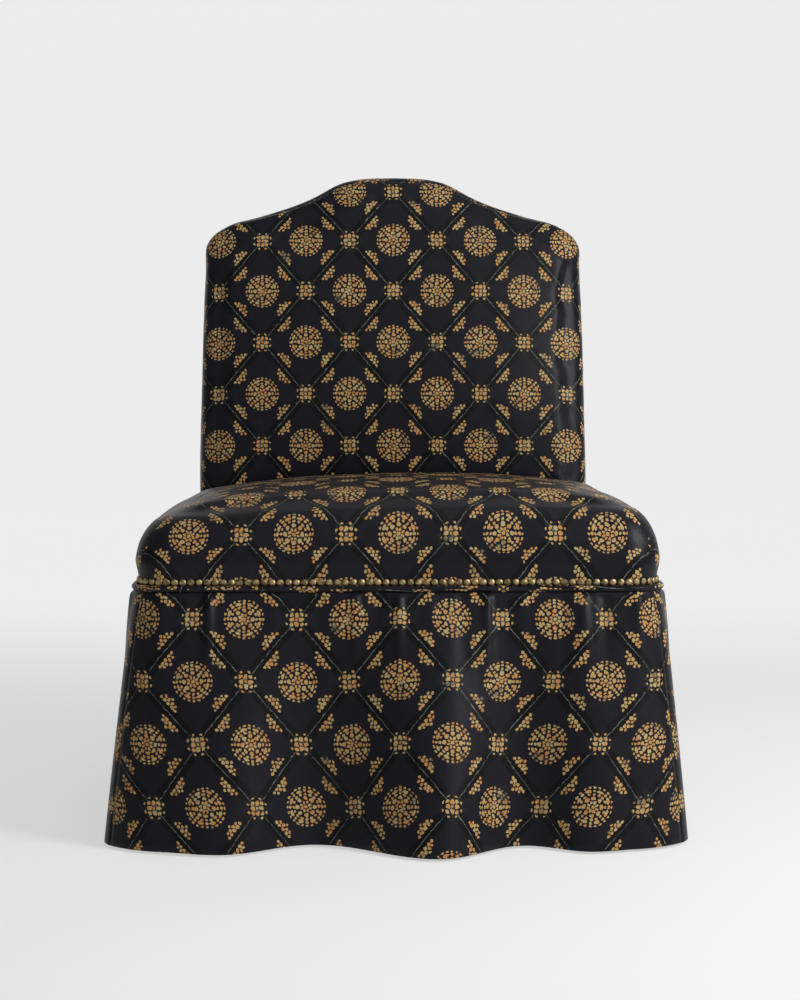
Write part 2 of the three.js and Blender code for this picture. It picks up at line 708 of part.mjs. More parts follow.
// Deck and seat padding
function buildSeatPadding() {
  const deckUnder = deckRings(deckHeight);
  const deckOver = deckRings(deckHeight + hessianThickness);
  const postRooms = [-1, 1].map((sign) => pushedAlongX(
    postProfile(coverThickness), postWidth + 2 * coverThickness, sign * postX));
  const rearRooms = [-1, 1].map((sign) => {
    const room = new THREE.BoxGeometry(postWidth + 2 * coverThickness, postTailDepth + overrun, overrun);
    return room.translate(sign * postX, seatDepth / 2, deckHeight);
  });
  place(chair, 'seat_hessian', cut(layer(deckUnder, deckOver), ...postRooms, ...rearRooms), hessian);

  const offset = coverThickness + fit;
  const foamUnder = deckRings(deckHeight + hessianThickness + fit);
  const foamOver = seatRings(offset, deckHeight + hessianThickness + fit).slice(1);
  const foamWall = foamOver[0].map((p) => p.clone().setZ(deckHeight + hessianThickness + fit));
  const room = backSpace(-railRise);
  place(chair, 'seat_foam', cut(loft([...foamUnder, foamWall, ...foamOver]), room), foam);

  const outer = seatRings(0, nailHeight - coverLap);
  const inner = seatRings(coverThickness, nailHeight - coverLap);
  const notch = backSpace(outsideFoot - fit);
  place(chair, 'seat_cover', cut(layer(inner, outer, true), notch), printedCloth);
}

function buildDustCover() {
  const reachX = frameHalfX - dustCoverInset;
  const reachY = frameHalfY - dustCoverInset;
  const clearX = frameHalfX - legWidth - fit;
  const clearY = frameHalfY - legWidth - fit;
  const quarter = [[clearX, -reachY], [clearX, -clearY], [reachX, -clearY]];
  const turn = (points, signX, signY) => points.map(([x, y]) => [signX * x, signY * y]);
  const outline = [
    ...turn(quarter, 1, 1), ...turn(quarter, 1, -1).reverse(),
    ...turn(quarter, -1, -1), ...turn(quarter, -1, 1).reverse(),
  ];
  const shape = new THREE.Shape(outline.map(([x, y]) => new THREE.Vector2(x, y)));
  const sheet = new THREE.ExtrudeGeometry(shape, { depth: dustCoverThickness, bevelEnabled: false });
  place(chair, 'dust_cover', sheet, cambric, 0, 0, railBottom - fit - dustCoverThickness);
}

// Piping and nail strips run round the cover
const sideNames = ['front', 'right', 'back', 'left'];

function buildPiping() {
  const section = circle(pipingRadius, 6).map(([out, up]) => [fit + pipingRadius + out, up]);
  const height = nailHeight - pipingDrop;
  place(chair, 'piping_cord', sweep(seatLoop(0), section, true), printedCloth, 0, 0, height);
}

function buildNailStrips() {
  const half = nailBandHeight / 2;
  const section = [
    [fit, -half], [fit + nailBandThickness, -half], [fit + nailBandThickness, half], [fit, half],
  ];
  sideNames.forEach((name, side) => {
    const strip = sweep(shortened(seatSide(side)), section);
    place(chair, `${name}_nail_strip`, strip, brass, 0, 0, nailHeight);
  });
}

// The same stations with both ends drawn in, so that two neighbours leave a joint between them
function shortened(stations) {
  const ends = stations.map(({ point, outward }) => ({ point: point.clone(), outward }));
  const drawIn = (end, next) => end.point.addScaledVector(next.point.clone().sub(end.point).normalize(), fit);
  drawIn(ends[0], ends[1]);
  drawIn(ends[ends.length - 1], ends[ends.length - 2]);
  return ends;
}

// Skirt: four panels that hang from under the piping and open into folds at the hem
function foldReach(shares, reaches, along) {
  const next = Math.max(1, shares.findIndex((share) => share >= along));
  const t = (along - shares[next - 1]) / (shares[next] - shares[next - 1]);
  return THREE.MathUtils.lerp(reaches[next - 1], reaches[next], (1 - Math.cos(Math.PI * t)) / 2);
}

// A stretch of the seat outline with points added on its straight lines, each with its share of the way
function dividedStations(stations, step) {
  const divided = [{ ...stations[0], travelled: 0 }];
  for (let i = 1; i < stations.length; i++) {
    const [from, to] = [stations[i - 1], stations[i]];
    const length = from.point.distanceTo(to.point);
    const parts = Math.max(1, Math.round(length / step));
    const before = divided[divided.length - 1].travelled;
    for (let part = 1; part <= parts; part++) {
      divided.push({
        point: from.point.clone().lerp(to.point, part / parts),
        outward: from.outward.clone().lerp(to.outward, part / parts).normalize(),
        travelled: before + (length * part) / parts,
      });
    }
  }
  const total = divided[divided.length - 1].travelled;
  return divided.map(({ travelled, ...station }) => ({ ...station, share: travelled / total }));
}

function skirtPanel(side, shares, reaches, step) {
  const top = nailHeight - pipingDrop - pipingRadius - skirtGap;
  const dropShares = [0, 0.12, 0.32, 0.55, 0.78, 1];
  const stations = dividedStations(seatSide(side), step);
  const middle = stations.length - 1;
  const rings = stations.map(({ point, outward, share: along }, i) => {
    const reach = foldReach(shares, reaches, along);
    const towardsMiddle = i === 0 ? stations[1].point : stations[middle - 1].point;
    const jointed = point.clone();
    if (i === 0 || i === middle) {
      jointed.addScaledVector(towardsMiddle.clone().sub(point).normalize(), skirtJoint / 2);
    }
    const edge = (share, depth) => {
      const out = fit + depth + reach * share ** foldDropShare;
      return new THREE.Vector3(
        jointed.x + outward.x * out, jointed.y + outward.y * out, top - (top - skirtHem) * share);
    };
    const outside = dropShares.map((share) => edge(share, skirtThickness));
    const inside = dropShares.map((share) => edge(share, 0)).reverse();
    return [...outside, ...inside];
  });
  return gridSolid(rings, dropShares.length);
}

// A closed solid through sections that are each a strip, doubled back, closed at both ends
function gridSolid(rings, depth) {
  const count = rings[0].length;
  const triangles = wallTriangles(rings.length, count, false);
  for (const row of [0, rings.length - 1]) {
    for (let i = 0; i < depth - 1; i++) {
      const [a, b] = [row * count + i, row * count + i + 1];
      const [c, d] = [row * count + count - 2 - i, row * count + count - 1 - i];
      if (row === 0) triangles.push(a, c, b, a, d, c);
      else triangles.push(a, b, c, a, c, d);
    }
  }
  return closedGeometry(rings.flat(), triangles);
}

function buildSkirt() {
  const panels = [
    [frontFoldShares, frontFoldReaches, frontSkirtStep],
    [rightFoldShares, rightFoldReaches, skirtStep],
    [backFoldShares, backFoldReaches, skirtStep],
    [leftFoldShares, leftFoldReaches, skirtStep],
  ];
  panels.forEach(([shares, reaches, step], side) => {
    place(chair, `${sideNames[side]}_skirt`, skirtPanel(side, shares, reaches, step), printedCloth);
  });
}

buildSeatFrame();
for (const [name, signX, signY] of [
  ['front_left', -1, -1], ['front_right', 1, -1], ['rear_left', -1, 1], ['rear_right', 1, 1],
]) {
  buildLeg(name, signX, signY);
}
buildCornerBlock('left', -1);
buildCornerBlock('right', 1);
buildSprings();
buildBackFrame();
buildBackWebbing();
buildBackPadding();
buildSeatPadding();
buildDustCover();
buildPiping();
buildNailStrips();
buildSkirt();

// The origin goes under the middle of the chair's box, on the floor
const extent = new THREE.Box3().setFromObject(chair);
const middle = extent.getCenter(new THREE.Vector3());
chair.position.set(-middle.x, -middle.y, -extent.min.z);

export default chair;
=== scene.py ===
"""Looks of an armless, fully upholstered slipper chair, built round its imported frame.

Metres, +Z up. The chair faces -Y, and +X is to the right of someone who looks at its front.
"""

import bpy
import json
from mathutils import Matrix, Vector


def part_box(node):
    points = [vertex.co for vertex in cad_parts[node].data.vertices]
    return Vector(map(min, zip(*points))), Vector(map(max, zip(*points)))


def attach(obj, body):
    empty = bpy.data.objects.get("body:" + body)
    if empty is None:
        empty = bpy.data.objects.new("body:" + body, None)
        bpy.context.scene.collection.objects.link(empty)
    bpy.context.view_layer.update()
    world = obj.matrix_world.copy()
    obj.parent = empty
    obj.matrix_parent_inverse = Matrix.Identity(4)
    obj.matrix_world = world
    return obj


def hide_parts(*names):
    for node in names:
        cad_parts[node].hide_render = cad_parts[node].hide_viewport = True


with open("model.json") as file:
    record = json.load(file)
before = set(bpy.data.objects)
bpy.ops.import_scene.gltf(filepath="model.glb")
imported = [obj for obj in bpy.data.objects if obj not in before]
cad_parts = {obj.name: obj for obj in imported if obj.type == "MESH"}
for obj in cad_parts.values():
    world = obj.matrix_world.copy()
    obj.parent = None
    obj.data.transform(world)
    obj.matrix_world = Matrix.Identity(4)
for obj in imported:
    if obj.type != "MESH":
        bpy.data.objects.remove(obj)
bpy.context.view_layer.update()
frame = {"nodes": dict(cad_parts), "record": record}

import copy  # noqa: E402
import json  # noqa: E402
import logging  # noqa: E402
import math  # noqa: E402
from dataclasses import dataclass, field  # noqa: E402
from enum import Enum  # noqa: E402
from typing import Any, Callable, Sequence  # noqa: E402

import bmesh  # noqa: E402
import bpy  # noqa: E402
import numpy as np  # noqa: E402
from mathutils import Euler, Matrix, Vector  # noqa: E402

MM = 0.001
PRINT_MAP = "print"
log = logging.getLogger("slipper_chair")

Colour = tuple[float, float, float]
Point = Sequence[float] | np.ndarray
Span = tuple[float, float]  # where a slope starts and ends
Noise = tuple[float, float, float]  # clouds for each metre, finer layers, and how strong these are


class Slot(Enum):
    """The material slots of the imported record."""

    CLOTH = "printed_cloth"
    BRASS = "antique_brass"
    WOOD = "frame_wood"
    NYLON = "glide_nylon"
    STEEL = "spring_steel"
    HESSIAN = "hessian"
    WEBBING = "webbing"
    FOAM = "foam"
    DUST = "dust_cloth"


class Side(Enum):
    """The sides of the seat, in the order that the outline passes them."""

    FRONT = 0
    RIGHT = 1
    BACK = 2
    LEFT = 3


# Shader maths


class Value:
    """A socket that carries a number, a colour or a vector, with the operators for numbers."""

    def __init__(self, shader: "Shader", socket: bpy.types.NodeSocket) -> None:
        """Wraps one output socket of a shader."""
        self.shader = shader
        self.socket = socket

    def _math(self, operation: str, *values: Any) -> "Value":
        """Adds a Math node.

        Args:
            operation: The Math node's operation.
            *values: Numbers or Values for its inputs, in order.

        Returns:
            The node's result.
        """
        inputs = dict(enumerate(values))
        return self.shader.node("ShaderNodeMath", {"operation": operation}, inputs)

    def __add__(self, other: Any) -> "Value":
        """self + other."""
        return self._math("ADD", self, other)

    def __radd__(self, other: Any) -> "Value":
        """other + self."""
        return self._math("ADD", other, self)

    def __sub__(self, other: Any) -> "Value":
        """self - other."""
        return self._math("SUBTRACT", self, other)

    def __rsub__(self, other: Any) -> "Value":
        """other - self."""
        return self._math("SUBTRACT", other, self)

    def __mul__(self, other: Any) -> "Value":
        """self * other."""
        return self._math("MULTIPLY", self, other)

    def __rmul__(self, other: Any) -> "Value":
        """other * self."""
        return self._math("MULTIPLY", other, self)

    def __truediv__(self, other: Any) -> "Value":
        """self / other."""
        return self._math("DIVIDE", self, other)

    def __abs__(self) -> "Value":
        """The absolute value."""
        return self._math("ABSOLUTE", self)

    def sine(self) -> "Value":
        """The sine of an angle in radians."""
        return self._math("SINE", self)

    def fract(self) -> "Value":
        """The part after the decimal point."""
        return self._math("FRACT", self)

    def root(self) -> "Value":
        """The square root."""
        return self._math("SQRT", self)

    def at_most(self, other: Any) -> "Value":
        """The lower of two values."""
        return self._math("MINIMUM", self, other)

    def at_least(self, other: Any) -> "Value":
        """The higher of two values."""
        return self._math("MAXIMUM", self, other)

    def angle_with(self, across: "Value") -> "Value":
        """The angle whose tangent is self / across, over the whole circle."""
        return self._math("ARCTAN2", self, across)

    def less_than(self, other: Any) -> "Value":
        """1 where self is less than other, else 0."""
        return self._math("LESS_THAN", self, other)

    def rising(self, start: float, end: float) -> "Value":
        """0 up to start, 1 from end on, and a smooth slope between them.

        Args:
            start: Where the slope starts; it may be above end for a falling slope.
            end: Where the slope ends.

        Returns:
            The mask.
        """
        return self.shader.node(
            "ShaderNodeMapRange",
            {"interpolation_type": "SMOOTHSTEP"},
            {"Value": self, "From Min": start, "From Max": end},
        )

    def pick(self, when_one: Any, when_zero: Any) -> "Value":
        """A number that is when_one where self is 1 and when_zero where it is 0."""
        inputs = {0: self, 2: when_zero, 3: when_one}
        return self.shader.node("ShaderNodeMix", {"data_type": "FLOAT"}, inputs)


class Shader:
    """A material's node tree, and the one method that adds nodes to it."""

    def __init__(self, name: str) -> None:
        """Makes an empty material.

        Args:
            name: The material's name.
        """
        self.material = bpy.data.materials.new(name)
        self.material.use_nodes = True
        self.tree = self.material.node_tree
        self.tree.nodes.clear()

    def node(
        self,
        kind: str,
        settings: dict[str, Any] | None = None,
        inputs: dict[Any, Any] | None = None,
        output: int | str = 0,
    ) -> Value:
        """Adds a node.

        Args:
            kind: The node's type name.
            settings: Its settings, such as a Math node's operation, set before the inputs.
            inputs: Numbers, colours or Values for its inputs, by name or number.
            output: The output that is wanted.

        Returns:
            That output.
        """
        made = self.tree.nodes.new(kind)
        for name, value in (settings or {}).items():
            setattr(made, name, value)
        for name, value in (inputs or {}).items():
            socket = made.inputs[name]
            if isinstance(value, Value):
                self.tree.links.new(value.socket, socket)
            elif isinstance(value, tuple) and len(socket.default_value) == len(value) + 1:
                socket.default_value = (*value, 1.0)
            else:
                socket.default_value = value
        results = made.outputs
        if kind == "ShaderNodeMix" and output == 0:
            output = {"FLOAT": 0, "VECTOR": 1, "RGBA": 2}[made.data_type]
        return Value(self, results[output])

    def mix(self, factor: Any, first: Any, second: Any) -> Value:
        """A colour between first, at factor 0, and second, at factor 1."""
        return self.node("ShaderNodeMix", {"data_type": "RGBA"}, {0: factor, 6: first, 7: second})

    def place(self) -> Value:
        """The point's place in the row frame."""
        return self.node("ShaderNodeTexCoord", output="Object")

    def split(self, vector: Value) -> tuple[Value, Value, Value]:
        """The three parts of a vector."""
        made = self.node("ShaderNodeSeparateXYZ", inputs={0: vector}).socket.node
        return tuple(Value(self, socket) for socket in made.outputs)

    def join(self, x: Any, y: Any, z: Any = 0.0) -> Value:
        """A vector from its three parts."""
        return self.node("ShaderNodeCombineXYZ", inputs={0: x, 1: y, 2: z})

    def noise(
        self, at: Value, scale: float, detail: float = 2.0, rough: float = 0.5, output: int | str = 0
    ) -> Value:
        """Cloudy values from 0 to 1.

        Args:
            at: The place that is looked up, in metres.
            scale: Clouds for each metre.
            detail: How many finer layers are added.
            rough: How strong the finer layers are.
            output: The output that is wanted; "Color" has three such values side by side.

        Returns:
            The values.
        """
        inputs = {"Vector": at, "Scale": scale, "Detail": detail, "Roughness": rough}
        return self.node("ShaderNodeTexNoise", inputs=inputs, output=output)

    def bump(self, height: Value, distance: float, strength: float = 1.0) -> Value:
        """A normal from heights of 0 to 1 that stand for that distance."""
        inputs = {"Strength": strength, "Distance": distance, "Height": height}
        return self.node("ShaderNodeBump", inputs=inputs)

    def finish(self, **inputs: Any) -> bpy.types.Material:
        """Adds the surface shader and the output.

        Args:
            **inputs: The surface shader's inputs, with _ for each space in their names.

        Returns:
            The finished material.
        """
        named = {name.replace("_", " "): value for name, value in inputs.items()}
        surface = self.node("ShaderNodeBsdfPrincipled", inputs=named)
        self.node_output(surface)
        return self.material

    def node_output(self, surface: Value) -> None:
        """Links a surface to the material's output."""
        made = self.tree.nodes.new("ShaderNodeOutputMaterial")
        self.tree.links.new(surface.socket, made.inputs["Surface"])


# Finishes


@dataclass(frozen=True)
class Petals:
    """A ring of oval petals: their count, their distance from the middle, half their sizes, their phase."""

    count: int
    middle: float
    half_length: float
    half_width: float
    phase: float = 0.0  # how far the ring is turned, in petals


@dataclass(frozen=True)
class Blot:
    """One oval blot of a sprig: its place out from the diamond's middle and aside, and half its sizes."""

    out: float
    aside: float
    half_length: float
    half_width: float


ROSETTE = (
    Petals(8, 5.7, 2.2, 1.6),
    Petals(8, 11.0, 2.5, 2.8, 0.5),
    Petals(16, 15.8, 1.6, 2.0, 0.5),
    Petals(8, 19.8, 1.9, 4.0),
    Petals(8, 20.4, 1.7, 2.0, 0.5),
    Petals(24, 24.0, 1.2, 1.8, 0.5),
)
FLORET = (
    Petals(4, 6.1, 3.1, 2.7, 0.5),
    Petals(4, 9.0, 2.1, 2.8),
    Petals(8, 13.1, 1.3, 1.8),
)
SPRIG = (
    Blot(42.6, 0.0, 2.1, 2.5),
    Blot(38.6, 3.2, 2.2, 2.0),
    Blot(42.6, 6.4, 2.1, 2.5),
    Blot(38.4, 8.4, 1.7, 1.8),
    Blot(42.8, 11.8, 1.8, 2.0),
    Blot(34.6, 0.0, 1.6, 1.9),
)


@dataclass(frozen=True)
class PrintedCloth:
    """Sateen with a block print: a diamond trellis, a rosette in each diamond and a floret at each crossing.

    The sizes are in millimetres on the flat cloth.
    """

    slot: Slot = Slot.CLOTH
    half_width: float = 66.0
    half_height: float = 78.0
    line: float = 0.36
    waver: float = 4.0
    line_waver: float = -0.55  # how far a line wavers, as a share of the motifs' waver
    line_fade: Span = (0.25, 0.65)
    line_least: float = 0.15  # a line's strength where it has faded, and how much more it has elsewhere
    line_more: float = 0.75
    rosette_eye: float = 2.3
    floret_eye: float = 1.6
    sprig_slant: float = 0.05
    ragged: float = 2.4  # how far chance moves a motif's edge, in its own field
    edge: Span = (1.16, 0.84)
    halo: Span = (0.88, 0.8)
    corner_spread: Span = (24.0, 9.0)
    corner_specks: Span = (0.5, 0.72)
    corner_smudge: float = 0.55
    worn_smudge: float = 0.75
    worn: Span = (0.74, 0.86)
    worn_specks: float = 0.35
    worn_depth: float = 0.85
    straw_share: Span = (0.36, 0.64)
    moss_share: Span = (0.5, 0.9)
    moss_depth: float = 0.35
    wander_noise: Noise = (190.0, 3.0, 0.62)
    cloud_noise: Noise = (26.0, 4.0, 0.65)
    speck_noise: Noise = (420.0, 3.0, 0.7)
    tint_noise: Noise = (95.0, 2.0, 0.5)
    fade_noise: Noise = (60.0, 3.0, 0.6)
    float_scale: Span = (900.0, 3800.0)  # how fine the sateen's floats are, along and across
    ground: Colour = (0.0085, 0.0078, 0.0115)
    ground_dark: Colour = (0.0045, 0.0042, 0.005)
    ochre: Colour = (0.405, 0.195, 0.064)
    straw: Colour = (0.38, 0.29, 0.125)
    rib_pitch: float = 0.8 * MM  # in metres, as the map is
    thread: Colour = (0.15, 0.165, 0.16)
    sage: Colour = (0.055, 0.078, 0.076)
    moss: Colour = (0.02, 0.03, 0.03)

    def petals(self, r: Value, turn: Value, ring: Petals) -> Value:
        """A ring of oval petals, as a field that is under 1 inside a petal.

        Args:
            r: The distance from the ring's middle.
            turn: The angle round it, in turns.
            ring: The petals.

        Returns:
            The field.
        """
        across = ((turn * ring.count + ring.phase).fract() - 0.5) * r * (2 * math.pi / ring.count)
        along = r - ring.middle
        return (across * across) / ring.half_width**2 + (along * along) / ring.half_length**2

    def flower(self, x: Value, y: Value, rings: Sequence[Petals], eye: float) -> Value:
        """A round motif of petals, as a field that is under 1 inside it.

        Args:
            x: The distance across from the flower's middle.
            y: The distance up from it.
            rings: The rings of petals.
            eye: The radius of the spot in the middle.

        Returns:
            The field.
        """
        r = (x * x + y * y).root()
        turn = y.angle_with(x) / (2 * math.pi) + 0.5
        return self.nearest([*(self.petals(r, turn, ring) for ring in rings), (r * r) / eye**2])

    def oval(self, x: Value, y: Value, blot: Blot) -> Value:
        """One oval blot, as a field that is under 1 inside it."""
        dx, dy = x - blot.out, y - blot.aside
        return (dx * dx) / blot.half_length**2 + (dy * dy) / blot.half_width**2

    def sprig(self, x: Value, y: Value) -> Value:
        """The sprig inside each side of a diamond, as a field that is under 1 inside it.

        Args:
            x: The distance across from the diamond's middle.
            y: The distance up from it.

        Returns:
            The field.
        """
        length = math.hypot(self.half_width, self.half_height)
        nx, ny = self.half_height / length, self.half_width / length
        out = x * nx + y * ny
        side = abs(y * nx - x * ny + (self.half_height - self.half_width) * self.sprig_slant)
        return self.nearest([self.oval(out, side, blot) for blot in SPRIG])

    def nearest(self, fields: Sequence[Value]) -> Value:
        """The union of some fields.

        Args:
            fields: Fields that are under 1 inside their motifs.

        Returns:
            One field that is under 1 inside any of them.
        """
        whole = fields[0]
        for other in fields[1:]:
            whole = whole.at_most(other)
        return whole

    def build(self) -> bpy.types.Material:
        """Makes the material.

        Returns:
            The printed cloth, which reads the pieces' own map of the flat cloth.
        """
        s = Shader("printed_cloth")
        flat = s.node("ShaderNodeUVMap", {"uv_map": PRINT_MAP})
        wander = s.noise(flat, *self.wander_noise, output="Color")
        off_u, off_v, ragged = s.split(wander)
        flat_u, flat_v, _ = s.split(flat)
        u = flat_u / MM + (off_u - 0.5) * self.waver
        v = flat_v / MM + (off_v - 0.5) * self.waver
        wide, high = self.half_width, self.half_height
        # Each point is in a diamond of one of two lattices, the second half a step up and across
        x1 = ((u / (2 * wide) + 0.5).fract() - 0.5) * (2 * wide)
        y1 = ((v / (2 * high) + 0.5).fract() - 0.5) * (2 * high)
        x2 = ((u / (2 * wide)).fract() - 0.5) * (2 * wide)
        y2 = ((v / (2 * high)).fract() - 0.5) * (2 * high)
        in_first = (abs(x1) / wide + abs(y1) / high).less_than(1.0)
        x = abs(in_first.pick(x1, x2))
        y = abs(in_first.pick(y1, y2))
        reach = x / wide + y / high
        to_edge = (1.0 - reach) * (wide * high / math.hypot(wide, high))
        at_side = (y / high).less_than(x / wide)
        corner_x = at_side.pick(wide - x, x)
        corner_y = at_side.pick(y, high - y)

        rosette = self.flower(x, y, ROSETTE, self.rosette_eye)
        floret = self.flower(corner_x, corner_y, FLORET, self.floret_eye)
        motifs = self.nearest([rosette, floret, self.sprig(x, y)])
        gold = (motifs + (ragged - 0.5) * self.ragged).rising(*self.edge)
        corner_r = (corner_x * corner_x + corner_y * corner_y).root()
        straight = to_edge + (off_u - 0.5) * (self.waver * self.line_waver)
        lines = abs(straight).rising(self.line * 1.5, self.line * 0.5)

        clouds = s.noise(flat, *self.cloud_noise)
        specks = s.noise(flat, *self.speck_noise)
        worn = (clouds + specks * self.worn_specks).rising(*self.worn)
        tint = s.noise(flat, *self.tint_noise)
        ochre = s.mix(tint.rising(*self.straw_share), self.ochre, self.straw)
        inked = gold * (1.0 - worn * self.worn_depth)
        ground = s.mix(reach.rising(*self.halo), self.ground_dark, self.ground)
        ground = s.mix(clouds.rising(*self.moss_share) * self.moss_depth, ground, self.moss)
        near_corner = corner_r.rising(*self.corner_spread) * specks.rising(*self.corner_specks)
        smudge = (near_corner * self.corner_smudge).at_least(gold * worn * self.worn_smudge)
        fade = s.noise(flat, *self.fade_noise).rising(*self.line_fade)
        ground = s.mix(lines * (fade * self.line_more + self.line_least), ground, self.thread)
        ground = s.mix(smudge, ground, self.sage)
        colour = s.mix(inked, ground, ochre)

        # Fine sateen: long floats along the cloth, crossed by thin ribs
        ribs = (flat_v * (2 * math.pi / self.rib_pitch)).sine() * 0.5 + 0.5
        floats = s.noise(s.join(flat_u * self.float_scale[0], flat_v * self.float_scale[1]), 1.0, 1.0)
        height = ribs * 0.5 + floats * 0.5 + inked * 0.4
        return s.finish(
            Base_Color=colour,
            Roughness=0.35 + inked * 0.2 + clouds * 0.08,
            Normal=s.bump(height, 0.12 * MM, 0.5),
            Sheen_Weight=0.012,
            Sheen_Roughness=0.35,
            Sheen_Tint=(0.62, 0.6, 0.75),
            Specular_IOR_Level=0.11,
        )


@dataclass(frozen=True)
class AntiqueBrass:
    """Brass nail heads, brown-lacquered in patches and bright where rubbed."""

    slot: Slot = Slot.BRASS
    bright: Colour = (0.46, 0.35, 0.18)
    dark: Colour = (0.11, 0.08, 0.038)
    patch_noise: Noise = (160.0, 3.0, 0.6)
    scratch_noise: Noise = (1400.0, 3.0, 0.7)
    scratch_share: float = 0.4
    rubbed: Span = (0.5, 0.85)
    roughness: float = 0.66
    shine: float = 0.16  # how much smoother the rubbed places are

    def build(self) -> bpy.types.Material:
        """Makes the material.

        Returns:
            The brass.
        """
        s = Shader("antique_brass")
        at = s.place()
        patches = s.noise(at, *self.patch_noise)
        scratches = s.noise(at, *self.scratch_noise)
        rubbed = (patches + scratches * self.scratch_share).rising(*self.rubbed)
        return s.finish(
            Base_Color=s.mix(rubbed, self.dark, self.bright),
            Metallic=1.0,
            Roughness=self.roughness - rubbed * self.shine,
            Normal=s.bump(scratches, 0.1 * MM, 0.4),
        )


@dataclass(frozen=True)
class FrameWood:
    """Sawn beech, planed but not varnished."""

    slot: Slot = Slot.WOOD
    pale: Colour = (0.56, 0.37, 0.21)
    dark: Colour = (0.4, 0.23, 0.11)
    grain_scale: Span = (12.0, 60.0)  # along the grain and across it, for each metre
    fleck_scale: Span = (150.0, 900.0)
    streak: Span = (0.35, 0.7)
    fleck: Span = (0.6, 0.7)

    def build(self) -> bpy.types.Material:
        """Makes the material.

        Returns:
            The beech, its grain along X.
        """
        s = Shader("frame_wood")
        x, y, z = s.split(s.place())
        (along, across), (fleck_along, fleck_across) = self.grain_scale, self.fleck_scale
        grain = s.noise(s.join(x * along, y * across, z * across), 1.0, 5.0, 0.6)
        flecks = s.noise(s.join(x * fleck_along, y * fleck_across, z * fleck_across), 1.0, 2.0)
        shade = grain.rising(*self.streak) * 0.8 + flecks.rising(*self.fleck) * 0.2
        return s.finish(
            Base_Color=s.mix(shade, self.pale, self.dark),
            Roughness=0.55 + flecks * 0.15,
            Normal=s.bump(grain * 0.6 + flecks * 0.4, 0.3 * MM, 0.5),
        )


@dataclass(frozen=True)
class Nylon:
    """Moulded nylon with a faint spark-eroded grain."""

    slot: Slot = Slot.NYLON
    colour: Colour = (0.05, 0.045, 0.04)
    worn: Colour = (0.09, 0.085, 0.08)
    grain_noise: Noise = (2500.0, 2.0, 0.5)
    scuff_noise: Noise = (220.0, 4.0, 0.7)
    scuffed: Span = (0.52, 0.7)

    def build(self) -> bpy.types.Material:
        """Makes the material.

        Returns:
            The nylon.
        """
        s = Shader("glide_nylon")
        grain = s.noise(s.place(), *self.grain_noise)
        scuffs = s.noise(s.place(), *self.scuff_noise).rising(*self.scuffed)
        return s.finish(
            Base_Color=s.mix(scuffs, self.colour, self.worn),
            Roughness=0.42 + scuffs * 0.2,
            Normal=s.bump(grain, 0.08 * MM, 0.5),
        )


@dataclass(frozen=True)
class SpringSteel:
    """Drawn and oiled steel, blued in places."""

    slot: Slot = Slot.STEEL
    colour: Colour = (0.42, 0.43, 0.45)
    blued: Colour = (0.16, 0.17, 0.21)
    film_noise: Noise = (45.0, 4.0, 0.6)
    drawn_noise: Noise = (1800.0, 2.0, 0.5)
    film: Span = (0.4, 0.7)

    def build(self) -> bpy.types.Material:
        """Makes the material.

        Returns:
            The steel.
        """
        s = Shader("spring_steel")
        film = s.noise(s.place(), *self.film_noise).rising(*self.film)
        drawn = s.noise(s.place(), *self.drawn_noise)
        return s.finish(
            Base_Color=s.mix(film, self.colour, self.blued),
            Metallic=1.0,
            Roughness=0.3 + film * 0.15,
            Normal=s.bump(drawn, 0.05 * MM, 0.5),
        )


@dataclass(frozen=True)
class WovenCloth:
    """Plain woven cloth, from open jute to black cambric, with threads of a given pitch."""

    name: str
    slot: Slot
    pitch: float
    colour: Colour
    deep: Colour  # painted shade, in the gaps between the threads
    relief: float
    slub_noise: Noise = (90.0, 3.0, 0.5)  # the thick and thin places of the yarn
    slub_shift: float = 2.0  # how far they push the threads aside, in radians of the weave
    thread: Span = (0.35, 0.9)

    def build(self) -> bpy.types.Material:
        """Makes the material, which weaves along the piece's own map.

        Returns:
            The cloth.
        """
        s = Shader(self.name)
        u, v, _ = s.split(s.node("ShaderNodeUVMap", {"uv_map": PRINT_MAP}))
        slubs = s.noise(s.place(), *self.slub_noise)
        beat = 2 * math.pi / self.pitch
        warp, weft = ((way * beat + slubs * self.slub_shift).sine() * 0.5 + 0.5 for way in (u, v))
        weave = warp.at_least(weft)
        thread = weave.rising(*self.thread)
        return s.finish(
            # The gaps between the threads take a painted shade colour
            Base_Color=s.mix(thread * (0.75 + slubs * 0.25), self.deep, self.colour),
            Roughness=0.95 - thread * 0.1,
            Normal=s.bump(weave, self.relief, 0.8),
        )


# Meshes


def make_object(name: str, mesh: bpy.types.Mesh, material: bpy.types.Material) -> bpy.types.Object:
    """Links a mesh into the scene as an object with one material, shaded smooth.

    Args:
        name: The object's name.
        mesh: Its mesh, whose old materials are dropped.
        material: Its material.

    Returns:
        The object.
    """
    made = bpy.data.objects.new(name, mesh)
    bpy.context.scene.collection.objects.link(made)
    mesh.materials.clear()
    mesh.materials.append(material)
    mesh.polygons.foreach_set("use_smooth", np.ones(len(mesh.polygons), bool))
    return made


def grid_faces(rows: int, columns: int, wraps: bool) -> np.ndarray:
    """The quads of a grid of points, counted row by row; wraps joins the last column to the first.

    Args:
        rows: How many rows of points there are.
        columns: How many points a row has.
        wraps: Whether the last column is joined to the first.

    Returns:
        Four point numbers for each quad.
    """
    j = np.arange(rows - 1)[:, None]
    i = np.arange(columns if wraps else columns - 1)[None, :]
    k = (i + 1) % columns
    quads = np.stack(
        [j * columns + i, j * columns + k, (j + 1) * columns + k, (j + 1) * columns + i], axis=-1
    )
    return quads.reshape(-1, 4)


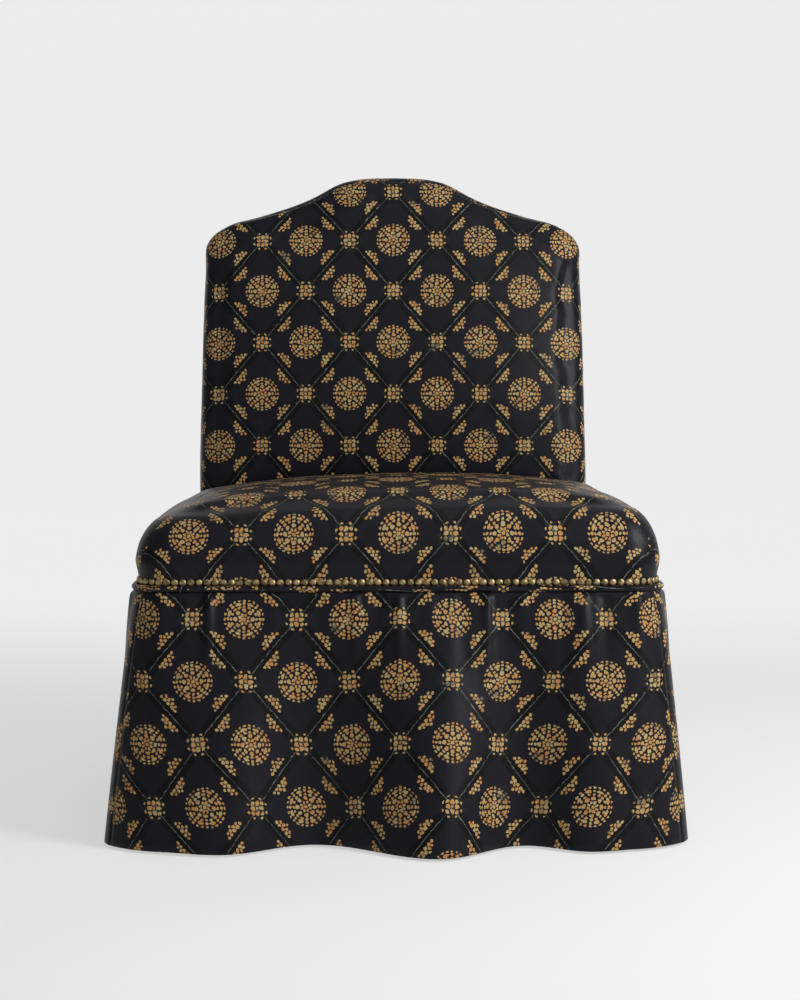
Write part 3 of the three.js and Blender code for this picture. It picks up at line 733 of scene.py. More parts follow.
def mesh_from(name: str, points: np.ndarray, faces: Sequence[Sequence[int]]) -> bpy.types.Mesh:
    """A mesh from points and faces, with its normals turned outwards.

    Args:
        name: The mesh's name.
        points: The points, in any shape that ends in x, y, z.
        faces: The faces' point numbers.

    Returns:
        The mesh, its doubles merged.
    """
    mesh = bpy.data.meshes.new(name)
    mesh.from_pydata(points.reshape(-1, 3).tolist(), [], [list(map(int, f)) for f in faces])
    merge(mesh)
    return mesh


def merge(mesh: bpy.types.Mesh) -> None:
    """Merges a mesh's doubles and turns its normals outwards.

    Args:
        mesh: The mesh.
    """
    edit = bmesh.new()
    edit.from_mesh(mesh)
    bmesh.ops.remove_doubles(edit, verts=edit.verts, dist=1e-6)
    bmesh.ops.recalc_face_normals(edit, faces=edit.faces)
    edit.to_mesh(mesh)
    edit.free()


def read(items: bpy.types.bpy_prop_collection, name: str, width: int, kind: type = float) -> np.ndarray:
    """One property of all of a mesh's points, corners or faces.

    Args:
        items: The points, corners or faces.
        name: The property.
        width: How many numbers it has.
        kind: The type of the numbers.

    Returns:
        The numbers, one row for each item.
    """
    found = np.zeros(len(items) * width, kind)
    items.foreach_get(name, found)
    return found.reshape(-1, width)


def points_of(mesh: bpy.types.Mesh) -> np.ndarray:
    """The places of a mesh's points."""
    return read(mesh.vertices, "co", 3)


def normals_of(mesh: bpy.types.Mesh) -> np.ndarray:
    """The directions that a mesh's points face."""
    return read(mesh.vertex_normals, "vector", 3, np.float32).astype(float)


def set_points(mesh: bpy.types.Mesh, points: np.ndarray) -> None:
    """Moves a mesh's points."""
    mesh.vertices.foreach_set("co", points.astype(np.float32).ravel())
    mesh.update()


def corner_places(mesh: bpy.types.Mesh) -> tuple[np.ndarray, np.ndarray, np.ndarray]:
    """For each face corner of a mesh: its place, its face's normal, and its face's middle.

    Args:
        mesh: The mesh.

    Returns:
        The three, one row for each face corner.
    """
    index = read(mesh.loops, "vertex_index", 1, int).ravel()
    sizes = read(mesh.polygons, "loop_total", 1, int).ravel()
    face = np.repeat(np.arange(len(sizes)), sizes)
    normals, middles = (read(mesh.polygons, name, 3)[face] for name in ("normal", "center"))
    return points_of(mesh)[index], normals, middles


def set_map(mesh: bpy.types.Mesh, flat: np.ndarray) -> None:
    """Writes the print's map, one pair for each face corner, in metres of flat cloth."""
    layer = mesh.uv_layers.get(PRINT_MAP) or mesh.uv_layers.new(name=PRINT_MAP)
    layer.data.foreach_set("uv", flat.astype(np.float32).ravel())


def remeshed(source: bpy.types.Object, voxel: float) -> None:
    """Rebuilds an object's mesh as an even skin of that spacing.

    Args:
        source: The object.
        voxel: The spacing.
    """
    modifier = source.modifiers.new("skin", "REMESH")
    modifier.mode = "VOXEL"
    modifier.voxel_size = voxel
    bake(source)


def bake(source: bpy.types.Object) -> None:
    """Applies all of an object's modifiers.

    Args:
        source: The object, which keeps its materials.
    """
    graph = bpy.context.evaluated_depsgraph_get()
    mesh = bpy.data.meshes.new_from_object(source.evaluated_get(graph))
    source.modifiers.clear()
    mesh.materials.clear()
    for material in source.data.materials:
        mesh.materials.append(material)
    source.data = mesh


def unrolled(depth: np.ndarray, radius: float) -> np.ndarray:
    """How much longer the cloth's way over a rounded edge is than its plan.

    Args:
        depth: How far a point lies past the edge's start, at right angles to the flat face.
        radius: The edge's radius.

    Returns:
        The length to add to the point's plan distance.
    """
    deep = np.clip(depth, 0.0, None)
    turn = np.arccos(np.clip(1.0 - deep / radius, 0.0, 1.0))
    return radius * turn + np.clip(deep - radius, 0.0, None) - radius * np.sin(turn)


def eased(share: np.ndarray) -> np.ndarray:
    """A smooth step from 0 to 1."""
    t = np.clip(share, 0.0, 1.0)
    return t * t * (3 - 2 * t)


# Padded pieces


@dataclass
class Stuffing:
    """How a cover is blown tight over its padding by a short cloth simulation."""

    voxel: float = 5.5 * MM
    pressure: float = 4.0
    frames: int = 20
    cap: float = 9 * MM
    inward: float = 0.1  # how much of an inward move is kept, because the wadding fills the edges
    slide: float = 0.25  # how much of the move along the cover is kept
    smoothing: int = 4
    smooth_factor: float = 0.5
    quality: int = 4  # the solver's steps for each frame
    mass: float = 0.3
    stretch_stiffness: float = 15.0
    bend_stiffness: float = 1.0

    def swell(self, piece: bpy.types.Object, held: Callable[[np.ndarray], np.ndarray]) -> None:
        """Simulates a closed cover under pressure, and keeps the result as its mesh.

        Args:
            piece: The cover.
            held: Gives each point's hold, from 0 free to 1 tacked down.
        """
        remeshed(piece, self.voxel)
        rest = points_of(piece.data)
        hold = held(rest)
        blown = self._simulated(piece, hold)
        step = blown - rest
        facing = normals_of(piece.data)
        outward = np.sum(step * facing, axis=1)
        sideways = step - facing * outward[:, None]
        outward = np.maximum(outward, 0.0) + np.minimum(outward, 0.0) * self.inward
        step = facing * outward[:, None] + sideways * self.slide
        length = np.linalg.norm(step, axis=1)
        step *= np.minimum(1.0, self.cap / np.maximum(length, 1e-9))[:, None]
        set_points(piece.data, rest + step * (1.0 - hold)[:, None])
        smooth = piece.modifiers.new("ease", "SMOOTH")
        smooth.factor = self.smooth_factor
        smooth.iterations = self.smoothing
        fine = piece.modifiers.new("fine", "SUBSURF")
        fine.levels = fine.render_levels = 1
        bake(piece)

    def _simulated(self, piece: bpy.types.Object, hold: np.ndarray) -> np.ndarray:
        """Runs the simulation on a copy and returns where the points end.

        Args:
            piece: The cover.
            hold: Each point's hold, from 0 to 1.

        Returns:
            The points' places at the last frame.
        """
        twin = piece.copy()
        twin.data = piece.data.copy()
        bpy.context.scene.collection.objects.link(twin)
        group = twin.vertex_groups.new(name="held")
        levels = np.round(hold, 1)
        for level in np.unique(levels):
            if level > 0:
                group.add(np.flatnonzero(levels == level).tolist(), float(level), "REPLACE")
        cloth = twin.modifiers.new("cloth", "CLOTH")
        settings = cloth.settings
        settings.quality = self.quality
        settings.mass = self.mass
        settings.use_pressure = True
        settings.uniform_pressure_force = self.pressure
        settings.tension_stiffness = settings.compression_stiffness = self.stretch_stiffness
        settings.bending_stiffness = self.bend_stiffness
        settings.vertex_group_mass = group.name
        settings.effector_weights.gravity = 0.0
        cloth.collision_settings.use_collision = False
        scene = bpy.context.scene
        cloth.point_cache.frame_start, cloth.point_cache.frame_end = 1, self.frames
        for number in range(1, self.frames + 1):
            scene.frame_set(number)
        graph = bpy.context.evaluated_depsgraph_get()
        mesh = bpy.data.meshes.new_from_object(twin.evaluated_get(graph))
        found = points_of(mesh)
        bpy.data.objects.remove(twin)
        scene.frame_set(1)
        return found


# The seat's outline, which the cover, piping, nails and skirt all follow


@dataclass
class SeatOutline:
    """The rounded rectangle of the seat at the nail row, measured from the frame."""

    corner_radius: float = 45 * MM
    keep_share: float = 0.65  # how much of the corner radius stays when the outline is drawn in by it
    strip_stand: float = 1.1 * MM  # from the cover to the outer face of the nail strips
    width: float = field(init=False)
    depth: float = field(init=False)
    middle_y: float = field(init=False)
    nail_height: float = field(init=False)

    def __post_init__(self) -> None:
        """Reads the outline's size and place from the nail strips."""
        front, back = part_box("front_nail_strip"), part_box("back_nail_strip")
        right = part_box("right_nail_strip")
        self.width = 2 * (right[1].x - self.strip_stand)
        self.depth = back[1].y - front[0].y - 2 * self.strip_stand
        self.middle_y = (back[1].y + front[0].y) / 2
        self.nail_height = (front[0].z + front[1].z) / 2

    def drawn_in(self, inset: float) -> "SeatOutline":
        """The same outline, smaller by an inset all round, with fuller corners than a plain offset.

        Args:
            inset: The inset, below 0 for a larger outline.

        Returns:
            The new outline.
        """
        smaller = copy.copy(self)
        smaller.width -= 2 * inset
        smaller.depth -= 2 * inset
        smaller.corner_radius -= inset * (1 - self.keep_share)
        return smaller

    def side_length(self) -> tuple[float, float]:
        """The straight stretches along X and along Y."""
        return self.width - 2 * self.corner_radius, self.depth - 2 * self.corner_radius

    def run(self, side: Side, shares: np.ndarray) -> tuple[np.ndarray, np.ndarray, float]:
        """Points along one side, from the middle of one corner to the middle of the next.

        Args:
            side: Which side.
            shares: The places wanted, from 0 to 1, from left to right as seen from outside.

        Returns:
            The places as (x, y), the outward directions, and the side's whole length.
        """
        straight = self.side_length()[side.value % 2]
        half_arc = self.corner_radius * math.pi / 4
        total = straight + 2 * half_arc
        s = shares * total
        turn = np.zeros_like(s)
        turn = np.where(s < half_arc, (s - half_arc) / self.corner_radius, turn)
        turn = np.where(s > total - half_arc, (s - total + half_arc) / self.corner_radius, turn)
        along = np.clip(s - half_arc, 0.0, straight) - straight / 2
        facing = self.side_length()[1 - side.value % 2] / 2
        x = along + self.corner_radius * np.sin(turn)
        y = -(facing + self.corner_radius * np.cos(turn))
        out = np.stack([np.sin(turn), -np.cos(turn)], axis=1)
        quarter = side.value * math.pi / 2
        c, n = round(math.cos(quarter)), round(math.sin(quarter))
        turned = np.array([[c, n], [-n, c]])
        points = np.stack([x, y], axis=1) @ turned + np.array([0.0, self.middle_y])
        return points, out @ turned, total

    def loop(self, steps: int) -> tuple[np.ndarray, np.ndarray]:
        """Points and outward directions all the way round, the same number on each side.

        Args:
            steps: How many points a side has.

        Returns:
            The places as (x, y), and the directions.
        """
        shares = np.arange(steps) / steps
        runs = [self.run(side, shares)[:2] for side in Side]
        return np.concatenate([r[0] for r in runs]), np.concatenate([r[1] for r in runs])


@dataclass
class Seat:
    """The tight, crowned seat: one cover over foam, drawn down to the nails all round."""

    outline: SeatOutline
    back: "Back"
    cloth: bpy.types.Material
    edge_height: float = 411 * MM
    edge_inset: float = 36 * MM  # the rounded edge, measured across the top
    edge_drop: float = 56 * MM  # and down the side
    bulge: float = 4 * MM  # how far the side stands out over the nails
    crown: float = 35 * MM
    swell_power: float = 2.5
    forward: float = 0.18  # how far the crown's peak lies to the front, as a share of half the depth
    pitch: float = 4 * MM  # how much higher the front edge is than the middle
    tilt: float = 5.5 * MM  # how much fuller the stuffing is on the right than in the middle
    tuck: float = 1.0 * MM  # how far the rest shape stays inside the finished one
    straight: float = 2 * MM  # how far the side goes straight up above the nails
    side_share: float = 0.6  # how much of the bulge is reached halfway up the side
    side_points: int = 60
    edge_rings: int = 11
    top_rings: int = 16
    held_height: float = 4 * MM  # above the nails, up to where the cover is tacked down
    hold_fade: float = 30 * MM
    blow_cap: float = 8 * MM
    shown: tuple[float, float] = (0.0, -0.306)  # where the middle of a diamond lies, from the seat's middle

    def ring(self, inset: float, height: float, shrink: float = 0.0) -> np.ndarray:
        """One loop of the seat's surface, drawn in from the outline.

        Args:
            inset: How far it is drawn in, below 0 for further out.
            height: Its height.
            shrink: How far it is shrunk towards the middle, from 0 to 1.

        Returns:
            The loop's points.
        """
        points, _ = self.outline.drawn_in(inset).loop(self.side_points)
        middle = np.array([0.0, self.outline.middle_y])
        kept = (points - middle) * (1 - shrink) + middle
        return np.column_stack([kept, np.full(len(kept), height)])

    def rest_rings(self) -> list[np.ndarray]:
        """The cover's surface before it is blown tight, as loops from the bottom up.

        Returns:
            The loops, all with the same number of points.
        """
        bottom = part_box("seat_cover")[0].z
        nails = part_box("front_nail_strip")[1].z
        halfway = (nails + self.edge_height - self.edge_drop) / 2
        rings = [self.ring(0.0, bottom), self.ring(0.0, nails + self.straight)]
        rings.append(self.ring(-self.bulge * self.side_share, halfway))
        for angle in np.linspace(0.0, math.pi / 2, self.edge_rings):
            tuck = self.tuck * math.sin(angle)
            inset = self.edge_inset * (1 - math.cos(angle)) - self.bulge
            height = self.edge_height - self.edge_drop * (1 - math.sin(angle))
            rings.append(self.crowned(self.ring(inset + tuck, height - tuck), math.sin(angle)))
        inset = self.edge_inset - self.bulge + self.tuck
        for shrink in np.linspace(0.0, 1.0, self.top_rings)[1:-1]:
            rings.append(self.crowned(self.ring(inset, self.edge_height - self.tuck, shrink)))
        return rings

    def crowned(self, ring: np.ndarray, share: float = 1.0) -> np.ndarray:
        """A loop raised by the crown and the stuffing's tilt.

        Args:
            ring: The loop's points.
            share: How much of the tilt it takes.

        Returns:
            The raised loop.
        """
        half_x = self.outline.width / 2 + self.bulge
        half_y = self.outline.depth / 2 + self.bulge
        x, y = ring[:, 0] / half_x, (ring[:, 1] - self.outline.middle_y) / half_y
        moved = y + self.forward * (1 - y * y)
        full = (1 - np.abs(x) ** self.swell_power) * (1 - np.abs(moved) ** self.swell_power)
        ring[:, 2] += self.crown * np.clip(full, 0.0, None) + (self.tilt * x - self.pitch * y) * share
        return ring

    def build(self) -> bpy.types.Object:
        """Makes the seat's cover over its padding.

        Returns:
            The seat cushion.
        """
        rings = self.rest_rings()
        mesh = mesh_from("seat_cushion", np.array(rings), closed_faces(len(rings), len(rings[0])))
        piece = make_object("seat_cushion", mesh, self.cloth)
        room = self.back.room()
        notch = piece.modifiers.new("notch", "BOOLEAN")
        notch.object = room
        notch.operation = "DIFFERENCE"
        notch.use_self = True
        bake(piece)
        bpy.data.objects.remove(room)
        Stuffing(cap=self.blow_cap).swell(piece, self.hold)
        self.map_print(piece.data)
        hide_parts("seat_cover", "seat_foam")
        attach(piece, "root")
        return piece

    def hold(self, points: np.ndarray) -> np.ndarray:
        """The cover is tacked below the nails, and held where the back stands.

        Args:
            points: The cover's points.

        Returns:
            Each point's hold, from 0 free to 1 tacked down.
        """
        low = 1 - eased((points[:, 2] - self.outline.nail_height - self.held_height) / self.hold_fade)
        behind = self.back.closeness(points)
        return np.clip(np.maximum(low, behind), 0.0, 1.0)

    def map_print(self, mesh: bpy.types.Mesh) -> None:
        """Lays the print over the seat: flat on top, and down each side past the rounded edge.

        Args:
            mesh: The cover's mesh.
        """
        at, normal, _ = corner_places(mesh)
        x, y = at[:, 0], at[:, 1] - self.outline.middle_y
        extra = unrolled(self.edge_height - at[:, 2], (self.edge_inset + self.edge_drop) / 2)
        sideways = np.abs(normal[:, 0]) > np.abs(normal[:, 1])
        u = np.where(sideways, x + np.sign(x) * extra, x)
        v = np.where(sideways, y, y + np.sign(y) * extra)
        set_map(mesh, np.column_stack([u - self.shown[0], v - self.shown[1]]))


def closed_faces(rows: int, columns: int) -> list[list[int]]:
    """The faces of a tube of loops whose first and last loop are closed by one face each.

    Args:
        rows: How many loops there are.
        columns: How many points a loop has.

    Returns:
        The faces' point numbers.
    """
    faces = grid_faces(rows, columns, True).tolist()
    faces.append(list(range(columns))[::-1])
    faces.append(list(range((rows - 1) * columns, rows * columns)))
    return faces


@dataclass
class Back:
    """The camel back, in its own frame: x across, depth to the front and length up the slope."""

    outline: SeatOutline
    cloth: bpy.types.Material
    rake: float = math.radians(7)
    inset: float = 37 * MM
    narrowing: float = 5 * MM
    thickness: float = 104 * MM
    edge_radius: float = 25 * MM
    crown: float = 18 * MM
    crown_length: float = 555.4 * MM
    shoulder_length: float = 488.5 * MM
    shoulder_half: float = 233 * MM
    shoulder_slope: float = math.radians(13)
    shoulder_drop: float = 53 * MM
    hump_handle: float = 126 * MM
    valley_handle: float = 170 * MM
    foot: float = 40 * MM
    outside_foot: float = 0.0
    rear: float = 1 * MM  # where the cushion starts, in front of the outside back's plane
    room_rear: float = -30 * MM
    room_gap: float = 1 * MM  # how far the room in the seat stands off the cushion
    swell_power: float = 2.4
    tuck: float = 0.8 * MM
    foot_points: int = 24
    side_points: int = 40
    corner_points: int = 12
    hump_points: int = 40
    edge_rings: int = 7
    front_rings: int = 14
    held_rear: float = 12 * MM  # where the hold starts to fade, from the rear edge and from the foot
    held_foot: float = 6 * MM
    hold_fade: float = 30 * MM
    held_seat: float = 4 * MM  # the same for the seat's cover, from the back's room
    seat_fade: float = 26 * MM
    blow_cap: float = 9 * MM
    seam_inset: float = 11 * MM
    seam_rise: float = 0.72  # how much of the inset the seam gives up beside the hump
    seam_rise_start: float = 100 * MM
    seam_rise_length: float = 190 * MM
    seam_front: float = 60 * MM  # where the groove starts, in depth
    seam_front_fade: float = 20 * MM
    seam_side: float = 12 * MM  # where it ends, from the side
    seam_side_fade: float = 30 * MM
    seam_width: float = 2.2 * MM
    seam_depth: float = 1.3 * MM
    heart_length: float = 0.3  # how far up the point lies that the groove is pressed towards
    boxing_shift: tuple[float, float] = (31 * MM, 47 * MM)  # the boxing is cut from another place
    shown: tuple[float, float] = (0.0, 0.292)  # where the middle of a diamond lies
    half: float = field(init=False)
    place: Matrix = field(init=False)

    def __post_init__(self) -> None:
        """Works out the back's half width, and the matrix that stands it on the seat."""
        self.half = self.outline.width / 2 - self.inset
        rear = self.outline.middle_y + self.outline.depth / 2
        stand = Matrix.Translation((0.0, rear, self.outline.nail_height))
        self.place = stand @ Matrix.Rotation(-self.rake, 4, "X")

    def to_row(self, points: np.ndarray) -> np.ndarray:
        """Points of the back's own frame (x, depth, length) in the row frame.

        Args:
            points: The points.

        Returns:
            The same points as x, y, z.
        """
        local = np.column_stack([points[:, 0], -points[:, 1], points[:, 2]])
        m = np.array(self.place)
        return local @ m[:3, :3].T + m[:3, 3]

    def to_local(self, points: np.ndarray) -> np.ndarray:
        """Points of the row frame in the back's own frame (x, depth, length).

        Args:
            points: The points.

        Returns:
            The same points as x, depth, length.
        """
        m = np.array(self.place.inverted())
        local = points @ m[:3, :3].T + m[:3, 3]
        return np.column_stack([local[:, 0], -local[:, 1], local[:, 2]])

    def half_outline(self, foot: float) -> np.ndarray:
        """The right half of the outline as (x, length), from the middle of the foot to the hump.

        Args:
            foot: How far up the outline's foot lies.

        Returns:
            The points, both ends included.
        """
        side_top = self.shoulder_length - self.shoulder_drop
        foot_x = np.linspace(0, self.half, self.foot_points, endpoint=False)
        bottom = np.column_stack([foot_x, np.full(self.foot_points, foot)])
        s = np.linspace(0, 1, self.side_points, endpoint=False)
        side = np.column_stack([self.half - self.narrowing * s**2, foot + (side_top - foot) * s])
        top_x = self.half - self.narrowing
        shoulder = np.array([self.shoulder_half, self.shoulder_length])
        slope = np.array([math.cos(self.shoulder_slope), -math.sin(self.shoulder_slope)])
        ease = self.shoulder_drop / 2
        corner = bezier(
            (top_x, side_top),
            (top_x, side_top + ease),
            shoulder + slope * ease,
            shoulder,
            self.corner_points,
        )
        hump = bezier(
            shoulder,
            shoulder - slope * self.valley_handle,
            (self.hump_handle, self.crown_length),
            (0.0, self.crown_length),
            self.hump_points,
        )
        return np.concatenate([bottom, side, corner[:-1], hump])

    def loop(self, foot: float, inset: float) -> np.ndarray:
        """The whole outline, drawn in by an inset.

        Args:
            foot: How far up the outline's foot lies.
            inset: The inset, below 0 for a larger outline.

        Returns:
            The points as (x, length), all the way round.
        """
        right = self.half_outline(foot)
        left = right[1:-1][::-1] * np.array([-1.0, 1.0])
        loop = np.concatenate([right, left])
        before, after = np.roll(loop, 1, axis=0), np.roll(loop, -1, axis=0)
        onward = (after - loop) / np.linalg.norm(after - loop, axis=1)[:, None]
        here = (loop - before) / np.linalg.norm(loop - before, axis=1)[:, None]
        along = onward + here
        along /= np.linalg.norm(along, axis=1)[:, None]
        out = np.column_stack([along[:, 1], -along[:, 0]])
        straight = np.column_stack([onward[:, 1], -onward[:, 0]])
        stretch = 1 / np.maximum(math.sqrt(0.5), np.sum(out * straight, axis=1))
        return loop - out * (inset * stretch)[:, None]

    def height_at(self, x: np.ndarray) -> np.ndarray:
        """The length up to the camel line at a distance from the middle.

        Args:
            x: The distances, to either side.

        Returns:
            The lengths.
        """
        right = self.half_outline(self.foot)
        top = right[right[:, 1] > self.shoulder_length - self.shoulder_drop][::-1]
        return np.interp(np.abs(x), top[:, 0], top[:, 1])

    def rings(self, foot: float, rear: float, grown: float) -> list[np.ndarray]:
        """The back's surface as loops from the rear to the front, moved out by a distance.

        Args:
            foot: How far up the outline's foot lies.
            rear: The depth of the first loop.
            grown: The distance, below 0 for a smaller back.

        Returns:
            The loops, in the back's own frame.
        """
        middle = np.array([0.0, (foot + self.crown_length) / 2])

        def ring(inset: float, depth: float, shrink: float = 0.0) -> np.ndarray:
            """One loop at a depth, drawn in by an inset and then shrunk towards the middle."""
            plan = (self.loop(foot, inset) - middle) * (1 - shrink) + middle
            return np.column_stack([plan[:, 0], np.full(len(plan), depth), plan[:, 1]])

        made = [ring(-grown, rear)]
        for angle in np.linspace(0, math.pi / 2, self.edge_rings):
            inset = self.edge_radius * (1 - math.cos(angle)) - grown * math.cos(angle)
            depth = self.thickness - self.edge_radius * (1 - math.sin(angle)) + grown * math.sin(angle)
            made.append(ring(inset, depth))
        for shrink in np.linspace(0, 1, self.front_rings)[1:-1]:
            loop = ring(self.edge_radius, self.thickness + grown, shrink)
            loop[:, 1] += self.crown * self.fullness(loop, foot)
            made.append(loop)
        return made

    def fullness(self, points: np.ndarray, foot: float) -> np.ndarray:
        """How full the padding is at a place, from 0 at the edges to 1 in the middle.

        Args:
            points: The points, in the back's own frame.
            foot: How far up the outline's foot lies.

        Returns:
            The shares.
        """
        middle = (foot + self.crown_length) / 2
        across = np.abs(points[:, 0]) / (self.half - self.edge_radius)
        over = points[:, 2] - middle
        top = self.height_at(points[:, 0]) - self.edge_radius - middle
        reach = np.where(over > 0, top, middle - foot - self.edge_radius)
        up = np.abs(over) / reach
        full = (1 - across**self.swell_power) * (1 - up**self.swell_power)
        return np.clip(full, 0.0, 1.0)

    def solid(self, name: str, foot: float, rear: float, grown: float) -> bpy.types.Object:
        """The back as one closed solid in the row frame.

        Args:
            name: The object's name.
            foot: How far up the outline's foot lies.
            rear: The depth of its flat rear.
            grown: How far its surface is moved out.

        Returns:
            The object.
        """
        rings = self.rings(foot, rear, grown)
        points = np.concatenate([self.to_row(ring) for ring in rings])
        mesh = mesh_from(name, points, closed_faces(len(rings), len(rings[0])))
        return make_object(name, mesh, self.cloth)

    def room(self) -> bpy.types.Object:
        """The space that the back takes out of the seat."""
        return self.solid("back_room", self.outside_foot, self.room_rear, self.room_gap)

    def closeness(self, points: np.ndarray) -> np.ndarray:
        """1 where a point touches the back's room, falling to 0 at 30 mm from it.

        Args:
            points: The points, in the row frame.

        Returns:
            The shares.
        """
        local = self.to_local(points)
        aside = np.abs(local[:, 0]) - self.half
        ahead = local[:, 1] - self.thickness
        away = np.maximum(np.maximum(aside, ahead), 0.0)
        return 1 - eased((away - self.held_seat) / self.seat_fade)

    def build(self) -> bpy.types.Object:
        """Makes the inside back: its cover blown tight over the padding, with a seam along the top.

        Returns:
            The back cushion.
        """
        piece = self.solid("back_cushion", self.foot, self.rear, -self.tuck)
        Stuffing(cap=self.blow_cap).swell(piece, self.hold)
        self.sew_seam(piece.data)
        self.map_print(piece.data)
        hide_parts("inside_back_cover", "back_foam")
        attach(piece, "root")
        return piece

    def hold(self, points: np.ndarray) -> np.ndarray:
        """The cover is tacked at its rear edge and at its foot.

        Args:
            points: The cover's points.

        Returns:
            Each point's hold, from 0 free to 1 tacked down.
        """
        local = self.to_local(points)
        rear = 1 - eased((local[:, 1] - self.held_rear) / self.hold_fade)
        low = 1 - eased((local[:, 2] - self.foot - self.held_foot) / self.hold_fade)
        return np.maximum(rear, low)

    def seam_distance(self, local: np.ndarray) -> np.ndarray:
        """How far outside the top seam a point lies, in the plane of the back; below 0 on the panel."""
        rise = self.seam_rise * eased((np.abs(local[:, 0]) - self.seam_rise_start) / self.seam_rise_length)
        return local[:, 2] - (self.height_at(local[:, 0]) - self.seam_inset * (1 - rise))

    def sew_seam(self, mesh: bpy.types.Mesh) -> None:
        """Presses a narrow groove into the cover where the panel meets the boxing.

        Args:
            mesh: The cushion's mesh.
        """
        points = points_of(mesh)
        local = self.to_local(points)
        ahead = eased((local[:, 1] - self.seam_front) / self.seam_front_fade)
        aside = eased((self.half - self.seam_side - np.abs(local[:, 0])) / self.seam_side_fade)
        groove = np.exp(-((self.seam_distance(local) / self.seam_width) ** 2)) * ahead * aside
        inward = np.array([0.0, self.thickness / 2, self.heart_length]) - local
        inward[:, 0] = 0.0
        inward /= np.linalg.norm(inward, axis=1)[:, None]
        set_points(mesh, self.to_row(local + inward * (self.seam_depth * groove)[:, None]))

    def map_print(self, mesh: bpy.types.Mesh) -> None:
        """Lays the print over the panel, round its sides, and over the boxing as a strip of its own.

        Args:
            mesh: The cushion's mesh.
        """
        at, normal, middle = corner_places(mesh)
        local, centre = self.to_local(at), self.to_local(middle)
        turned = normal @ np.array(self.place)[:3, :3]
        extra = unrolled(self.thickness - local[:, 1], self.edge_radius)
        sideways = np.abs(turned[:, 0]) > np.abs(turned[:, 2])
        u = local[:, 0] + np.where(sideways, np.sign(local[:, 0]) * extra, 0.0)
        v = local[:, 2] + np.where(sideways, 0.0, extra)
        boxing = (self.seam_distance(centre) > 0) & ~sideways
        u = np.where(boxing, u + self.boxing_shift[0], u) - self.shown[0]
        v = np.where(boxing, v + self.boxing_shift[1], v) - self.shown[1]
        set_map(mesh, np.column_stack([u, v]))


def bezier(a: Point, b: Point, c: Point, d: Point, steps: int) -> np.ndarray:
    """Points on a cubic curve, both ends included.

    Args:
        a: Where the curve starts.
        b: The handle of its start.
        c: The handle of its end.
        d: Where it ends.
        steps: How many steps there are between the points.

    Returns:
        The points.
    """
    t = np.linspace(0, 1, steps + 1)[:, None]
    a, b, c, d = (np.asarray(p, float) for p in (a, b, c, d))
    return (1 - t) ** 3 * a + 3 * (1 - t) ** 2 * t * b + 3 * (1 - t) * t**2 * c + t**3 * d


@dataclass
class OutsideBack:
    """The flat panel behind the back, its edges turned under and sewn on by hand."""

    back: Back
    cloth: bpy.types.Material
    thickness: float = 1.4 * MM
    stand: float = 0.4 * MM
    puff: float = 3.2 * MM
    insets: tuple[float, ...] = (1.0 * MM, 1.4 * MM, 2.6 * MM, 5 * MM, 10 * MM)
    puff_shares: tuple[float, ...] = (0.0, 0.35, 0.5, 0.6, 0.7)  # of the puff, at each of the insets
    middle_rings: int = 16
    middle_rise: float = 1.6  # how soon the rest of the puff is reached on the way to the middle
    stitch_inset: float = 1.2 * MM
    stitch_height: float = 0.8  # of the panel's thickness
    stitch_pitch: float = 9 * MM
    stitch_length: float = 4.5 * MM
    stitch_radius: float = 0.35 * MM

    def build(self) -> list[bpy.types.Object]:
        """Makes the panel and its row of stitches.

        Returns:
            The panel and the stitches.
        """
        outlines = [self.back.loop(self.back.outside_foot, inset) for inset in self.insets]
        middle = np.array([0.0, self.back.crown_length / 2])
        rings = list(zip(outlines, self.puff_shares))
        edge = self.puff_shares[-1]
        for shrink in np.linspace(0, 1, self.middle_rings)[1:-1]:
            share = edge + (1 - edge) * float(eased(np.array(shrink * self.middle_rise)))
            rings.append(((outlines[-1] - middle) * (1 - shrink) + middle, share))
        outer = [self.ring(plan, -self.stand - self.thickness - self.puff * share) for plan, share in rings]
        inner = [self.ring(plan, -self.stand - self.puff * share) for plan, share in rings]
        count = len(outer[0])
        skin = outer[::-1] + inner
        mesh = mesh_from("outside_back", np.concatenate(skin), closed_faces(len(skin), count))
        panel = make_object("outside_back", mesh, self.cloth)
        self.map_print(mesh)
        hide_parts("outside_back_panel")
        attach(panel, "root")
        stitches = self.stitches()
        return [panel, stitches]

    def ring(self, plan: np.ndarray, depth: float) -> np.ndarray:
        """One loop of the panel in the row frame."""
        return self.back.to_row(np.column_stack([plan[:, 0], np.full(len(plan), depth), plan[:, 1]]))

    def map_print(self, mesh: bpy.types.Mesh) -> None:
        """Lays the print flat over the panel.

        Args:
            mesh: The panel's mesh.
        """
        at, _, _ = corner_places(mesh)
        local = self.back.to_local(at)
        set_map(mesh, np.column_stack([-local[:, 0], local[:, 2] - self.back.shown[1]]))

    def stitches(self) -> bpy.types.Object:
        """Small ladder stitches along the panel's edge, set out by geometry nodes.

        Returns:
            The row of stitches.
        """
        plan = self.back.loop(self.back.outside_foot, self.stitch_inset)
        path = self.ring(plan, -self.stand - self.thickness * self.stitch_height)
        row = Row("back_stitches", self.stitch_pitch, seed=11, turn=0.12, grow=0.1)
        head = bmesh.new()
        bmesh.ops.create_uvsphere(head, u_segments=6, v_segments=5, radius=1.0)
        size = (self.stitch_length / 2, self.stitch_radius, self.stitch_radius)
        bmesh.ops.scale(head, vec=Vector(size), verts=head.verts)
        outward = np.array(self.back.place)[:3, :3] @ np.array([0.0, 1.0, 0.0])
        piece = row.build(path, np.tile(outward, (len(path), 1)), head, self.cloth)
        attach(piece, "root")
        return piece


ROW_INPUTS = {
    "Geometry": "Geometry",
    "Head": "Object",
    "Turn": "Float",
    "Grow": "Float",
    "Seed": "Int",
    "Material": "Material",
}


